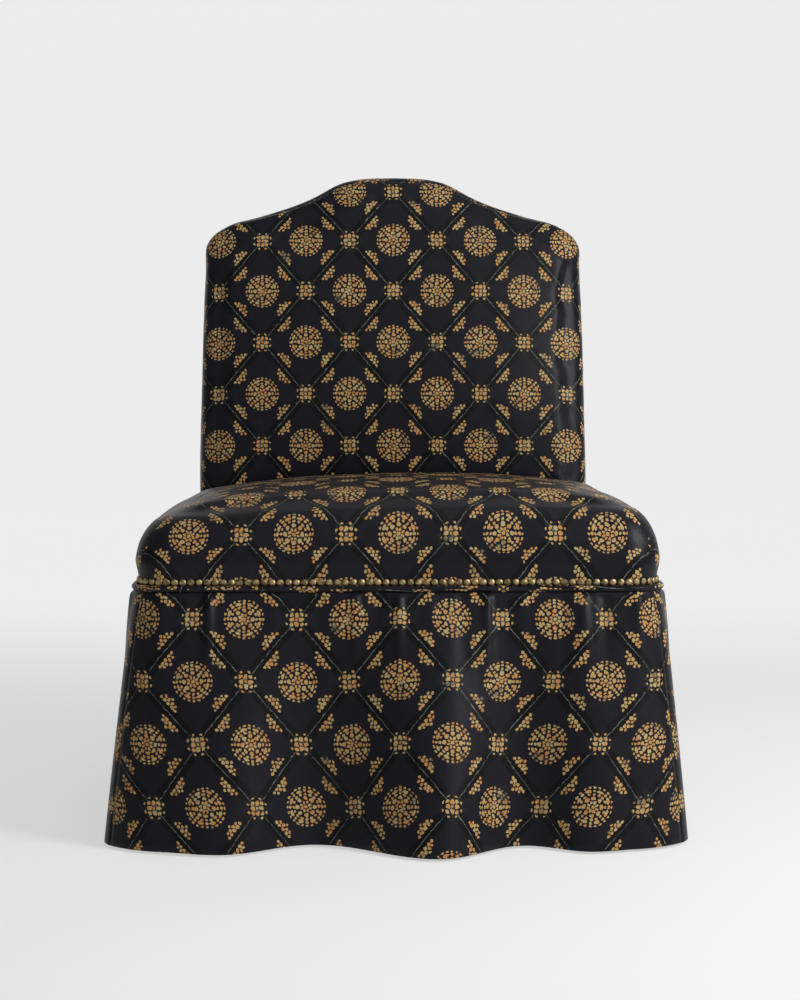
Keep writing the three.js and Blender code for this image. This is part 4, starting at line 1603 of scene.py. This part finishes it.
@dataclass
class Row:
    """A row of like small things along a closed path, laid out by a geometry node tree."""

    name: str
    pitch: float
    seed: int
    turn: float  # the most that a head is turned by chance about each axis, in radians
    grow: float  # the most that a head is made smaller by chance, as a share

    def build(
        self, path: np.ndarray, outward: np.ndarray, head: bmesh.types.BMesh, material: bpy.types.Material
    ) -> bpy.types.Object:
        """Lays the heads along the path.

        Args:
            path: The path's points, which close on themselves.
            outward: The direction that a head's own Z takes at each point.
            head: One head round its own origin; it is freed here.
            material: What the heads are made of.

        Returns:
            The row as one plain mesh.
        """
        shape = bpy.data.meshes.new(self.name + "_head")
        head.to_mesh(shape)
        head.free()
        model = bpy.data.objects.new(self.name + "_head", shape)
        bpy.context.scene.collection.objects.link(model)
        places, facing, along = self.spaced(path, outward)
        carrier = bpy.data.meshes.new(self.name + "_places")
        carrier.from_pydata(places.tolist(), [], [])
        for title, values in (("facing", facing), ("along", along)):
            layer = carrier.attributes.new(title, "FLOAT_VECTOR", "POINT")
            layer.data.foreach_set("vector", values.astype(np.float32).ravel())
        piece = bpy.data.objects.new(self.name, carrier)
        bpy.context.scene.collection.objects.link(piece)
        tree = self.tree()
        modifier = piece.modifiers.new("row", "NODES")
        modifier.node_group = tree
        wanted = {
            "Head": model,
            "Turn": self.turn,
            "Grow": self.grow,
            "Seed": self.seed,
            "Material": material,
        }
        for item in tree.interface.items_tree:
            if item.item_type == "SOCKET" and item.in_out == "INPUT" and item.name in wanted:
                modifier[item.identifier] = wanted[item.name]
        piece.update_tag()
        graph = bpy.context.evaluated_depsgraph_get()
        mesh = bpy.data.meshes.new_from_object(piece.evaluated_get(graph))
        piece.modifiers.clear()
        piece.data = mesh
        mesh.polygons.foreach_set("use_smooth", np.ones(len(mesh.polygons), bool))
        if PRINT_MAP not in mesh.uv_layers:
            at, _, _ = corner_places(mesh)
            set_map(mesh, at[:, [0, 2]])
        bpy.data.objects.remove(model)
        return piece

    def spaced(self, path: np.ndarray, outward: np.ndarray) -> tuple[np.ndarray, np.ndarray, np.ndarray]:
        """Places one pitch apart, with their outward and onward directions.

        Args:
            path: The path's points.
            outward: The outward direction at each of them.

        Returns:
            The places, the outward directions and the onward directions.
        """
        closed = np.concatenate([path, path[:1]])
        faces = np.concatenate([outward, outward[:1]])
        steps = np.linalg.norm(np.diff(closed, axis=0), axis=1)
        travelled = np.concatenate([[0.0], np.cumsum(steps)])
        count = round(travelled[-1] / self.pitch)
        wanted = np.arange(count) * (travelled[-1] / count)
        places = np.column_stack([np.interp(wanted, travelled, closed[:, k]) for k in range(3)])
        facing = np.column_stack([np.interp(wanted, travelled, faces[:, k]) for k in range(3)])
        along = np.roll(places, -1, axis=0) - np.roll(places, 1, axis=0)
        along /= np.linalg.norm(along, axis=1)[:, None]
        return places, facing, along

    def tree(self) -> bpy.types.NodeTree:
        """The node tree: a head on each point, turned outwards, with slight chance differences.

        Returns:
            The tree, which ends in real, dressed geometry.
        """
        tree = bpy.data.node_groups.new(self.name + "_row", "GeometryNodeTree")
        for title, kind in ROW_INPUTS.items():
            tree.interface.new_socket(title, in_out="INPUT", socket_type=f"NodeSocket{kind}")
        tree.interface.new_socket("Geometry", in_out="OUTPUT", socket_type="NodeSocketGeometry")

        def add(kind: str, settings: dict[str, Any], links: dict[Any, Any]) -> bpy.types.Node:
            """Adds a node to the tree.

            Args:
                kind: The node's type name.
                settings: Its settings.
                links: Values or output sockets for its inputs, by name or number.

            Returns:
                The node.
            """
            made = tree.nodes.new(kind)
            for key, value in settings.items():
                setattr(made, key, value)
            for key, value in links.items():
                if isinstance(value, bpy.types.NodeSocket):
                    tree.links.new(value, made.inputs[key])
                else:
                    made.inputs[key].default_value = value
            return made

        source = add("NodeGroupInput", {}, {}).outputs
        facing, along = (
            add("GeometryNodeInputNamedAttribute", {"data_type": "FLOAT_VECTOR"}, {0: title})
            for title in ("facing", "along")
        )
        outwards = add("FunctionNodeAlignRotationToVector", {"axis": "Z"}, {"Vector": facing.outputs[0]})
        aligned = add(
            "FunctionNodeAlignRotationToVector",
            {"axis": "X", "pivot_axis": "Z"},
            {"Rotation": outwards.outputs[0], "Vector": along.outputs[0]},
        )
        negative = add("ShaderNodeMath", {"operation": "MULTIPLY"}, {0: source["Turn"], 1: -1.0})
        low = add("ShaderNodeCombineXYZ", {}, {i: negative.outputs[0] for i in range(3)})
        high = add("ShaderNodeCombineXYZ", {}, {i: source["Turn"] for i in range(3)})
        tilt = add(
            "FunctionNodeRandomValue",
            {"data_type": "FLOAT_VECTOR"},
            {"Min": low.outputs[0], "Max": high.outputs[0], "Seed": source["Seed"]},
        )
        as_turn = add("FunctionNodeEulerToRotation", {}, {0: tilt.outputs[0]})
        turned = add(
            "FunctionNodeRotateRotation",
            {"rotation_space": "LOCAL"},
            {"Rotation": aligned.outputs[0], "Rotate By": as_turn.outputs[0]},
        )
        least = add("ShaderNodeMath", {"operation": "SUBTRACT"}, {0: 1.0, 1: source["Grow"]})
        size = add(
            "FunctionNodeRandomValue",
            {"data_type": "FLOAT"},
            {2: least.outputs[0], 3: 1.0, "Seed": source["Seed"]},
        )
        head = add("GeometryNodeObjectInfo", {}, {0: source["Head"]})
        rows = add(
            "GeometryNodeInstanceOnPoints",
            {},
            {
                "Points": source["Geometry"],
                "Instance": head.outputs["Geometry"],
                "Rotation": turned.outputs[0],
                "Scale": size.outputs[1],
            },
        )
        real = add("GeometryNodeRealizeInstances", {}, {0: rows.outputs[0]})
        done = add(
            "GeometryNodeSetMaterial", {}, {"Geometry": real.outputs[0], "Material": source["Material"]}
        )
        add("NodeGroupOutput", {}, {0: done.outputs[0]})
        return tree


@dataclass
class NailRow:
    """Domed upholstery nails, driven side by side all round the seat."""

    outline: SeatOutline
    brass: bpy.types.Material
    radius: float = 4.75 * MM
    dome: float = 2.0 * MM
    pitch: float = 10.2 * MM
    stand: float = 0.3 * MM
    drop: float = 3.3 * MM  # how far the row sits under the middle of its strip
    side_points: int = 80
    sides: int = 14
    profile: tuple[tuple[float, float], ...] = ((0.45, 0.93), (0.8, 0.64), (0.96, 0.26), (1.0, 0.0))

    def build(self) -> bpy.types.Object:
        """Makes the row.

        Returns:
            The row.
        """
        points, out = self.outline.loop(self.side_points)
        height = self.outline.nail_height - self.drop
        path = np.column_stack([points + out * self.stand, np.full(len(points), height)])
        outward = np.column_stack([out, np.zeros(len(out))])
        row = Row("nail_row", self.pitch, seed=5, turn=0.07, grow=0.05)
        piece = row.build(path, outward, self.head(), self.brass)
        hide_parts("front_nail_strip", "right_nail_strip", "back_nail_strip", "left_nail_strip")
        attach(piece, "root")
        return piece

    def head(self) -> bmesh.types.BMesh:
        """One nail head: a shallow dome with a thin rolled rim, closed underneath.

        Returns:
            The head, round the origin and facing along Z.
        """
        head = bmesh.new()
        top = head.verts.new((0, 0, self.dome))
        angles = [2 * math.pi * i / self.sides for i in range(self.sides)]
        loops = []
        for share, rise in self.profile:
            r, z = self.radius * share, self.dome * rise
            loops.append([head.verts.new((r * math.cos(a), r * math.sin(a), z)) for a in angles])
        for i in range(self.sides):
            k = (i + 1) % self.sides
            head.faces.new((top, loops[0][i], loops[0][k]))
            for upper, lower in zip(loops, loops[1:]):
                head.faces.new((upper[i], lower[i], lower[k], upper[k]))
        head.faces.new(loops[-1][::-1])
        return head


@dataclass
class Piping:
    """The self-covered cord under the nails."""

    outline: SeatOutline
    cloth: bpy.types.Material
    radius: float = 4.0 * MM
    stand: float = 0.6 * MM
    drop: float = 1.8 * MM  # how far its middle sits under the middle of the plain cord
    wrinkle: float = 0.12 * MM
    wrinkle_length: float = 6.1 * MM  # along the cord, for each radian of the wrinkles' wave
    wrinkle_twist: float = 2.0  # how many waves meet round the cord, from the bias
    side_points: int = 240
    sides: int = 14

    def build(self) -> bpy.types.Object:
        """Makes the cord with its cloth cut on the bias.

        Returns:
            The cord.
        """
        low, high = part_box("piping_cord")
        height = (low.z + high.z) / 2 - self.drop
        points, out = self.outline.loop(self.side_points)
        count, sides = len(points), self.sides
        steps = np.linalg.norm(np.diff(points, axis=0, append=points[:1]), axis=1)
        travelled = np.concatenate([[0.0], np.cumsum(steps)])
        angle = np.linspace(0, 2 * math.pi, sides, endpoint=False)
        wave = np.sin(travelled[:-1, None] / self.wrinkle_length + self.wrinkle_twist * angle)
        pucker = 1 + (self.wrinkle / self.radius) * wave
        reach = self.stand + self.radius + self.radius * pucker * np.cos(angle)
        rise = self.radius * pucker * np.sin(angle)
        ring = np.concatenate(
            [points[:, None, :] + out[:, None, :] * reach[:, :, None], (height + rise)[:, :, None]], axis=2
        )
        faces, flat = [], []
        bias = math.sqrt(0.5)
        for j in range(count):
            for i in range(sides):
                k, n = (i + 1) % sides, (j + 1) % count
                faces.append([j * sides + i, n * sides + i, n * sides + k, j * sides + k])
                for s, a in ((j, i), (j + 1, i), (j + 1, i + 1), (j, i + 1)):
                    along, around = travelled[s], self.radius * 2 * math.pi * a / sides
                    flat.append(((along + around) * bias, (along - around) * bias))
        mesh = bpy.data.meshes.new("piping")
        mesh.from_pydata(ring.reshape(-1, 3).tolist(), [], faces)
        set_map(mesh, np.array(flat))
        piece = make_object("piping", mesh, self.cloth)
        turn_outwards(mesh)
        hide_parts("piping_cord")
        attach(piece, "root")
        return piece


def turn_outwards(mesh: bpy.types.Mesh) -> None:
    """Flips a closed mesh's faces if they point inwards.

    Args:
        mesh: The mesh, all of whose faces point the same way.
    """
    edit = bmesh.new()
    edit.from_mesh(mesh)
    volume = edit.calc_volume(signed=True)
    edit.free()
    if volume < 0:
        mesh.flip_normals()


@dataclass(frozen=True)
class Gather:
    """One small gather under the seam; its depth is in millimetres, and below 0 it is a hollow."""

    along: float  # its place and its spread, as shares of the panel's width
    spread: float
    depth: float
    drop: float  # where it has died out, as a share of the panel's drop


@dataclass
class Folds:
    """The folds of one skirt panel: where they stand along it, and how far out they reach at the hem."""

    shares: Sequence[float]
    reaches: Sequence[float]
    gathers: Sequence[Gather]

    def reach(self, along: np.ndarray) -> np.ndarray:
        """The reach at the hem, in metres, smooth between the folds.

        Args:
            along: The places along the panel, from 0 to 1.

        Returns:
            The reach at each of them.
        """
        shares, reaches = np.array(self.shares), np.array(self.reaches) * MM
        index = np.clip(np.searchsorted(shares, along, side="left"), 1, len(shares) - 1)
        t = (along - shares[index - 1]) / (shares[index] - shares[index - 1])
        ease = (1 - np.cos(np.pi * np.clip(t, 0, 1))) / 2
        return reaches[index - 1] + (reaches[index] - reaches[index - 1]) * ease


FRONT_GATHERS = (
    Gather(0.045, 0.012, 2.2, 0.4),
    Gather(0.131, 0.009, 4.2, 0.5),
    Gather(0.2, 0.012, -1.6, 0.4),
    Gather(0.26, 0.014, 2.0, 0.35),
    Gather(0.345, 0.012, -1.8, 0.35),
    Gather(0.416, 0.008, 3.8, 0.44),
    Gather(0.455, 0.012, -1.8, 0.4),
    Gather(0.501, 0.008, 4.0, 0.46),
    Gather(0.56, 0.013, 2.2, 0.4),
    Gather(0.624, 0.013, -2.6, 0.5),
    Gather(0.672, 0.009, 4.4, 0.55),
    Gather(0.74, 0.014, 2.0, 0.35),
    Gather(0.8195, 0.012, -2.6, 0.45),
    Gather(0.86, 0.01, 3.2, 0.45),
    Gather(0.902, 0.012, -2.8, 0.45),
    Gather(0.965, 0.009, 3.8, 0.45),
)


GATHER_SPREAD = (0.008, 0.015)
GATHER_DEPTH = (1.8, 4.2)
GATHER_DROP = (0.35, 0.55)
GATHER_WANDER = 0.3  # how far a gather leaves the middle of its own stretch, as a share of it
HOLLOW = -0.6  # every third gather is a hollow, shallower than the ridges


def chance_gathers(count: int, seed: int) -> list[Gather]:
    """Gathers spread along a panel with slight chance differences.

    Args:
        count: How many gathers there are.
        seed: What the chance starts from.

    Returns:
        The gathers, from left to right.
    """
    chance = np.random.default_rng(seed)
    number = np.arange(count)
    places = (number + 0.5 + chance.uniform(-GATHER_WANDER, GATHER_WANDER, count)) / count
    return [
        Gather(
            along,
            chance.uniform(*GATHER_SPREAD),
            chance.uniform(*GATHER_DEPTH) * sign,
            chance.uniform(*GATHER_DROP),
        )
        for along, sign in zip(places, np.where(number % 3 == 2, HOLLOW, 1.0))
    ]


@dataclass
class Skirt:
    """Four lined panels, gathered a little under the piping and opening into soft folds at the hem."""

    outline: SeatOutline
    cloth: bpy.types.Material
    hem: float = 4 * MM
    joint: float = 0.5 * MM
    stand: float = 5.0 * MM
    thickness: float = 1.3 * MM
    drop_power: float = 0.8
    puff: float = 0.2 * MM  # how far the cloth stands out at once under the seam
    puff_height: float = 2.5 * MM
    columns: int = 300
    rows: int = 64
    row_power: float = 1.5  # above 1, the rows lie closer together near the seam
    gather_start: float = 0.022  # where a gather has its full depth, as a share of the drop
    gather_opening: float = 1.6  # how much wider a gather is at the hem than at the seam
    hem_roll: float = 0.4  # how far the hem's fold hangs under the sheets, in thicknesses
    lining_shift: float = 20 * MM  # the print's shift between the outside and the lining
    shown_drop: float = 0.112  # how far down the middle of a diamond lies

    def build(self) -> list[bpy.types.Object]:
        """Makes the four panels.

        Returns:
            The panels, in the order front, right, back, left.
        """
        panels = {
            Side.FRONT: Folds(
                (0, 0.155, 0.335, 0.575, 0.745, 0.87, 1), (55, 76, 24, 101, 33, 66, 48), FRONT_GATHERS
            ),
            Side.RIGHT: Folds(
                (0, 0.055, 0.17, 0.37, 0.6, 0.8, 1), (48, 30, 44, 16, 48, 18, 40), chance_gathers(10, 31)
            ),
            Side.BACK: Folds(
                (0, 0.2, 0.41, 0.6, 0.81, 1), (40, 44, 17, 46, 18, 40), chance_gathers(10, 57)
            ),
            Side.LEFT: Folds(
                (0, 0.2, 0.4, 0.63, 0.83, 0.945, 1), (40, 18, 48, 16, 44, 30, 55), chance_gathers(10, 23)
            ),
        }
        return [self.panel(side, folds) for side, folds in panels.items()]

    def panel(self, side: Side, folds: Folds) -> bpy.types.Object:
        """One panel, as a lined sheet.

        Args:
            side: Which side it hangs on.
            folds: Its folds and gathers.

        Returns:
            The panel.
        """
        name = f"{side.name.lower()}_skirt"
        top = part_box(name)[1].z - Piping.drop
        total = self.outline.run(side, np.array([0.0]))[2]
        edge = self.joint / 2 / total
        shares = np.linspace(edge, 1 - edge, self.columns)
        points, out, _ = self.outline.run(side, shares)
        drop = np.linspace(0, 1, self.rows) ** self.row_power
        swing = folds.reach(shares)[None, :] * drop[:, None] ** self.drop_power
        swing = swing + self.gathers(folds, shares, drop)
        swing = swing + self.puff * (eased(drop * (top - self.hem) / self.puff_height) * (1 - drop))[:, None]
        middle = np.empty((self.rows, self.columns, 3))
        middle[:, :, :2] = points[None] + out[None] * (self.stand + swing)[:, :, None]
        middle[:, :, 2] = top - (top - self.hem) * drop[:, None]
        u, v = self.flat_places(middle)
        mesh = self.thick_sheet(name, middle, u, v)
        piece = make_object(f"{side.name.lower()}_skirt_panel", mesh, self.cloth)
        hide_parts(name)
        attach(piece, "root")
        area = sheet_area(middle)
        return piece

    def gathers(self, folds: Folds, shares: np.ndarray, drop: np.ndarray) -> np.ndarray:
        """The small gathers that start at the seam and die out on the way down.

        Args:
            folds: The panel's folds.
            shares: The columns' places along the panel.
            drop: The rows' places down it, from 0 to 1.

        Returns:
            How far out each point is moved.
        """
        total = np.zeros((len(drop), len(shares)))
        for gather in folds.gathers:
            spread = gather.spread * (1 + self.gather_opening * drop[:, None])
            ridge = np.exp(-(((shares[None, :] - gather.along) / spread) ** 2))
            start = eased(drop / self.gather_start) * (1 - eased(drop / gather.drop))
            total += gather.depth * MM * ridge * start[:, None]
        return total

    def flat_places(self, middle: np.ndarray) -> tuple[np.ndarray, np.ndarray]:
        """Each point's place on the flat cloth: along it from the panel's middle, and down it.

        Args:
            middle: The sheet's middle surface, by row and column.

        Returns:
            The two places, each by row and column.
        """
        across = np.linalg.norm(np.diff(middle, axis=1), axis=2)
        u = np.concatenate([np.zeros((len(middle), 1)), np.cumsum(across, axis=1)], axis=1)
        u -= u[:, [u.shape[1] // 2]]
        down = np.linalg.norm(np.diff(middle, axis=0), axis=2)
        v = np.concatenate([np.zeros((1, middle.shape[1])), np.cumsum(down, axis=0)])
        return u, v

    def thick_sheet(self, name: str, middle: np.ndarray, u: np.ndarray, v: np.ndarray) -> bpy.types.Mesh:
        """A closed sheet of the skirt's thickness round a middle surface, with its print.

        Args:
            name: The panel's CAD node.
            middle: The middle surface, by row and column.
            u: Each point's place along the flat cloth.
            v: Each point's place down it.

        Returns:
            The mesh.
        """
        rows, columns = middle.shape[:2]
        along = np.gradient(middle, axis=1)
        down = np.gradient(middle, axis=0)
        normal = np.cross(down, along)
        normal /= np.linalg.norm(normal, axis=2)[:, :, None]
        outer, inner = middle + normal * self.thickness / 2, middle - normal * self.thickness / 2
        # The section runs down the outside, round the turned hem and up the lining
        hem = middle[-1:] + np.array([0.0, 0.0, -self.thickness * self.hem_roll])
        section = np.concatenate([outer, hem, inner[::-1]])
        flat_v = np.concatenate([v, v[-1:] + self.thickness / 2, v[::-1] + self.lining_shift])
        flat_u = np.concatenate([u, u[-1:], u[::-1]])
        count = len(section)
        faces, flat = [], []
        for j in range(count - 1):
            for i in range(columns - 1):
                corners = ((j, i), (j + 1, i), (j + 1, i + 1), (j, i + 1))
                faces.append([a * columns + b for a, b in corners])
                flat.extend((flat_u[a, b], -flat_v[a, b]) for a, b in corners)
        for i in range(columns - 1):
            corners = ((count - 1, i), (0, i), (0, i + 1), (count - 1, i + 1))
            faces.append([a * columns + b for a, b in corners])
            flat.extend((flat_u[0, b], 0.0) for _, b in corners)
        for i in (0, columns - 1):
            for j in range(rows):
                corners = [(j, i), (j + 1, i), (count - 2 - j, i), (count - 1 - j, i)]
                if j == rows - 1:
                    corners = [(j, i), (j + 1, i), (j + 2, i)]
                corners = corners[::-1] if i == 0 else corners
                faces.append([a * columns + b for a, b in corners])
                flat.extend((flat_u[min(a, rows - 1), i], -flat_v[min(a, rows - 1), i]) for a, _ in corners)
        mesh = bpy.data.meshes.new(name + "_panel")
        mesh.from_pydata(section.reshape(-1, 3).tolist(), [], faces)
        set_map(mesh, np.array(flat) + np.array([0.0, self.shown_drop]))
        turn_outwards(mesh)
        return mesh


def sheet_area(middle: np.ndarray) -> float:
    """The area of a grid of points.

    Args:
        middle: The points, by row and column.

    Returns:
        The area in square metres.
    """
    a = middle[1:, :-1] - middle[:-1, :-1]
    b = middle[:-1, 1:] - middle[:-1, :-1]
    return float(np.linalg.norm(np.cross(a, b), axis=2).sum())


@dataclass
class InnerCloths:
    """The cloths inside the chair: hessian over the springs and in the back, webbing, the dust cover."""

    hessian: bpy.types.Material
    webbing: bpy.types.Material
    cambric: bpy.types.Material
    slack: tuple[float, float] = (1.01, 1.03)  # the flat cloth over its longer and shorter span

    def build(self) -> list[bpy.types.Object]:
        """Makes a finished piece in place of each plain solid.

        Returns:
            The cloths and the webs.
        """
        deck = self.cloth("seat_hessian", "deck_cloth", self.hessian, Slot.HESSIAN)
        lining = self.cloth("back_hessian", "back_lining", self.hessian, Slot.HESSIAN)
        dust = self.cloth("dust_cover", "dust_sheet", self.cambric, Slot.DUST)
        for piece, rests in ((deck, "front_seat_rail"), (lining, "back_tie_rail"), (dust, "front_seat_rail")):
            low, high = box_of(piece)
            span = sorted((high - low)[:], reverse=True)[:2]
            area = largest_side(piece.data)
            flat = (span[0] * self.slack[0], span[1] * self.slack[1])
            min(area, flat[0] * flat[1])
        webs = [
            self.cloth(f"back_web_{group}_{number}", f"web_{group}_{number}", self.webbing, Slot.WEBBING)
            for group in ("row", "column")
            for number in (1, 2, 3)
        ]
        return [deck, lining, dust, *webs]

    def cloth(self, node: str, name: str, material: bpy.types.Material, slot: Slot) -> bpy.types.Object:
        """A merged copy of a CAD node, woven along its own flat map.

        Args:
            node: The CAD node.
            name: The new piece's name.
            material: Its finish.
            slot: Its slot; not used.

        Returns:
            The piece.
        """
        mesh = frame["nodes"][node].data.copy()
        merge(mesh)
        piece = make_object(name, mesh, material)
        mesh.polygons.foreach_set("use_smooth", np.zeros(len(mesh.polygons), bool))
        at, _, _ = corner_places(mesh)
        spread = np.ptp(at, axis=0)
        axes = sorted(np.argsort(spread)[1:])
        set_map(mesh, at[:, axes])
        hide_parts(node)
        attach(piece, "root")
        return piece


def box_of(piece: bpy.types.Object) -> tuple[Vector, Vector]:
    """The lowest and highest corner of an object's mesh."""
    points = points_of(piece.data)
    return Vector(points.min(0)), Vector(points.max(0))


def largest_side(mesh: bpy.types.Mesh) -> float:
    """Half the area of a thin sheet's surface, in square metres."""
    return float(read(mesh.polygons, "area", 1).sum()) / 2


@dataclass(frozen=True)
class Lamp:
    """A square soft light: where it hangs, the point that it looks at, its side and its power in watts."""

    name: str
    place: Point
    aim: Point
    size: float
    power: float


LAMPS = (
    Lamp("key", (1.5, -1.2, 1.35), (0.1, 0.1, 0.6), 0.7, 42.0),
    Lamp("front", (-0.5, -3.5, 2.6), (0.0, 0.0, 0.4), 1.8, 8.0),
    Lamp("top", (0.3, -0.4, 2.6), (0.0, 0.1, 0.5), 1.4, 7.0),
)


@dataclass
class Studio:
    """A pale floor that curves up into the backdrop, soft lights and the camera."""

    camera_place: tuple[float, float, float] = (-0.038, -2.788, 0.600)
    yaw: float = math.radians(-0.91)
    pitch: float = math.radians(-3.78)
    lens: float = 71.86
    sensor: float = 36.0
    tone: float = 0.8
    sky: float = 0.22
    glow: float = 0.895
    glow_start: float = 0.3  # along Y, where the glow starts to take over from the lamps' light
    glow_end: float = 2.4
    least_glow: float = 0.6  # the glow's share before the start, and what is added up to the end
    more_glow: float = 0.3
    floor_start: float = -9.0
    curve_start: float = 5.0
    curve_radius: float = 3.0
    curve_points: int = 24
    half_width: float = 14.0
    wall_height: float = 12.0

    def build(self) -> None:
        """Makes the camera, the backdrop and the lights."""
        data = bpy.data.cameras.new("camera")
        data.lens, data.sensor_width = self.lens, self.sensor
        camera = bpy.data.objects.new("camera", data)
        camera.location = self.camera_place
        camera.rotation_euler = Euler((math.pi / 2 + self.pitch, 0.0, self.yaw))
        bpy.context.scene.collection.objects.link(camera)
        bpy.context.scene.camera = camera
        bpy.context.scene.view_settings.view_transform = "Standard"
        self.backdrop()
        self.world()
        for lamp in LAMPS:
            self.hang(lamp)

    def backdrop(self) -> None:
        """A wide floor with a curved rise behind the chair."""
        turn = np.linspace(0, math.pi / 2, self.curve_points)
        curve_y = self.curve_start + self.curve_radius * np.sin(turn)
        curve_z = self.curve_radius * (1 - np.cos(turn))
        wall = self.curve_start + self.curve_radius
        profile = [(self.floor_start, 0.0), *zip(curve_y, curve_z), (wall, self.wall_height)]
        points = np.array([[(x, y, z) for x in (-self.half_width, self.half_width)] for y, z in profile])
        mesh = bpy.data.meshes.new("backdrop")
        mesh.from_pydata(points.reshape(-1, 3).tolist(), [], grid_faces(len(profile), 2, False).tolist())
        # The far wall is lit by itself, so that it stays as bright as the floor round the chair
        s = Shader("backdrop")
        plain = s.node("ShaderNodeBsdfDiffuse", inputs={"Color": (self.tone,) * 3})
        glow = s.node("ShaderNodeEmission", inputs={"Color": (1.0, 1.0, 1.0), "Strength": self.glow})
        _, along, _ = s.split(s.place())
        share = along.rising(self.glow_start, self.glow_end) * self.more_glow + self.least_glow
        s.node_output(s.node("ShaderNodeMixShader", inputs={0: share, 1: plain, 2: glow}))
        make_object("backdrop", mesh, s.material)

    def world(self) -> None:
        """An even, dim sky."""
        world = bpy.data.worlds.new("studio")
        world.use_nodes = True
        shade = world.node_tree.nodes["Background"]
        shade.inputs["Color"].default_value = (1.0, 1.0, 1.0, 1.0)
        shade.inputs["Strength"].default_value = self.sky
        bpy.context.scene.world = world

    def hang(self, lamp: Lamp) -> None:
        """Makes a lamp.

        Args:
            lamp: Its place, aim, size and power.
        """
        data = bpy.data.lights.new(lamp.name, "AREA")
        data.size, data.energy = lamp.size, lamp.power
        light = bpy.data.objects.new(lamp.name, data)
        light.visible_camera = False
        light.location = lamp.place
        light.rotation_euler = (Vector(lamp.aim) - Vector(lamp.place)).to_track_quat("-Z", "Y").to_euler()
        bpy.context.scene.collection.objects.link(light)


FINISHES = (
    PrintedCloth(),
    AntiqueBrass(),
    WovenCloth("hessian", Slot.HESSIAN, 2.6 * MM, (0.42, 0.3, 0.16), (0.1, 0.07, 0.035), 0.6 * MM),
    WovenCloth("webbing", Slot.WEBBING, 1.8 * MM, (0.5, 0.41, 0.25), (0.2, 0.15, 0.08), 0.5 * MM),
    WovenCloth("dust_cloth", Slot.DUST, 0.9 * MM, (0.022, 0.022, 0.022), (0.01, 0.01, 0.01), 0.1 * MM),
    WovenCloth("foam", Slot.FOAM, 1.2 * MM, (0.8, 0.72, 0.5), (0.6, 0.52, 0.34), 0.3 * MM),
    FrameWood(),
    Nylon(),
    SpringSteel(),
)


def dress_frame(finishes: dict[Slot, bpy.types.Material]) -> None:
    """Gives each CAD node that stays the finish of its record slot.

    Args:
        finishes: The materials by slot.
    """
    slots = {part["node"]: Slot(part["material_slot"]) for part in frame["record"]["subparts"]}
    for name, node in frame["nodes"].items():
        for slot in node.material_slots:
            slot.material = finishes[slots[name]]


def main() -> None:
    """Builds the studio and the chair's sub-assemblies in order."""
    logging.basicConfig(level=logging.INFO, format="%(name)s: %(message)s")
    Studio().build()
    finishes = {finish.slot: finish.build() for finish in FINISHES}
    dress_frame(finishes)
    cloth = finishes[Slot.CLOTH]
    outline = SeatOutline()
    back = Back(outline, cloth)
    pieces = [Seat(outline, back, cloth).build(), back.build()]
    pieces += OutsideBack(back, cloth).build()
    pieces += [Piping(outline, cloth).build(), NailRow(outline, finishes[Slot.BRASS]).build()]
    pieces += Skirt(outline, cloth).build()
    pieces += InnerCloths(finishes[Slot.HESSIAN], finishes[Slot.WEBBING], finishes[Slot.DUST]).build()
    for piece in pieces:
        log.info("%s: %d faces", piece.name, len(piece.data.polygons))


if __name__ == "__main__":
    main()
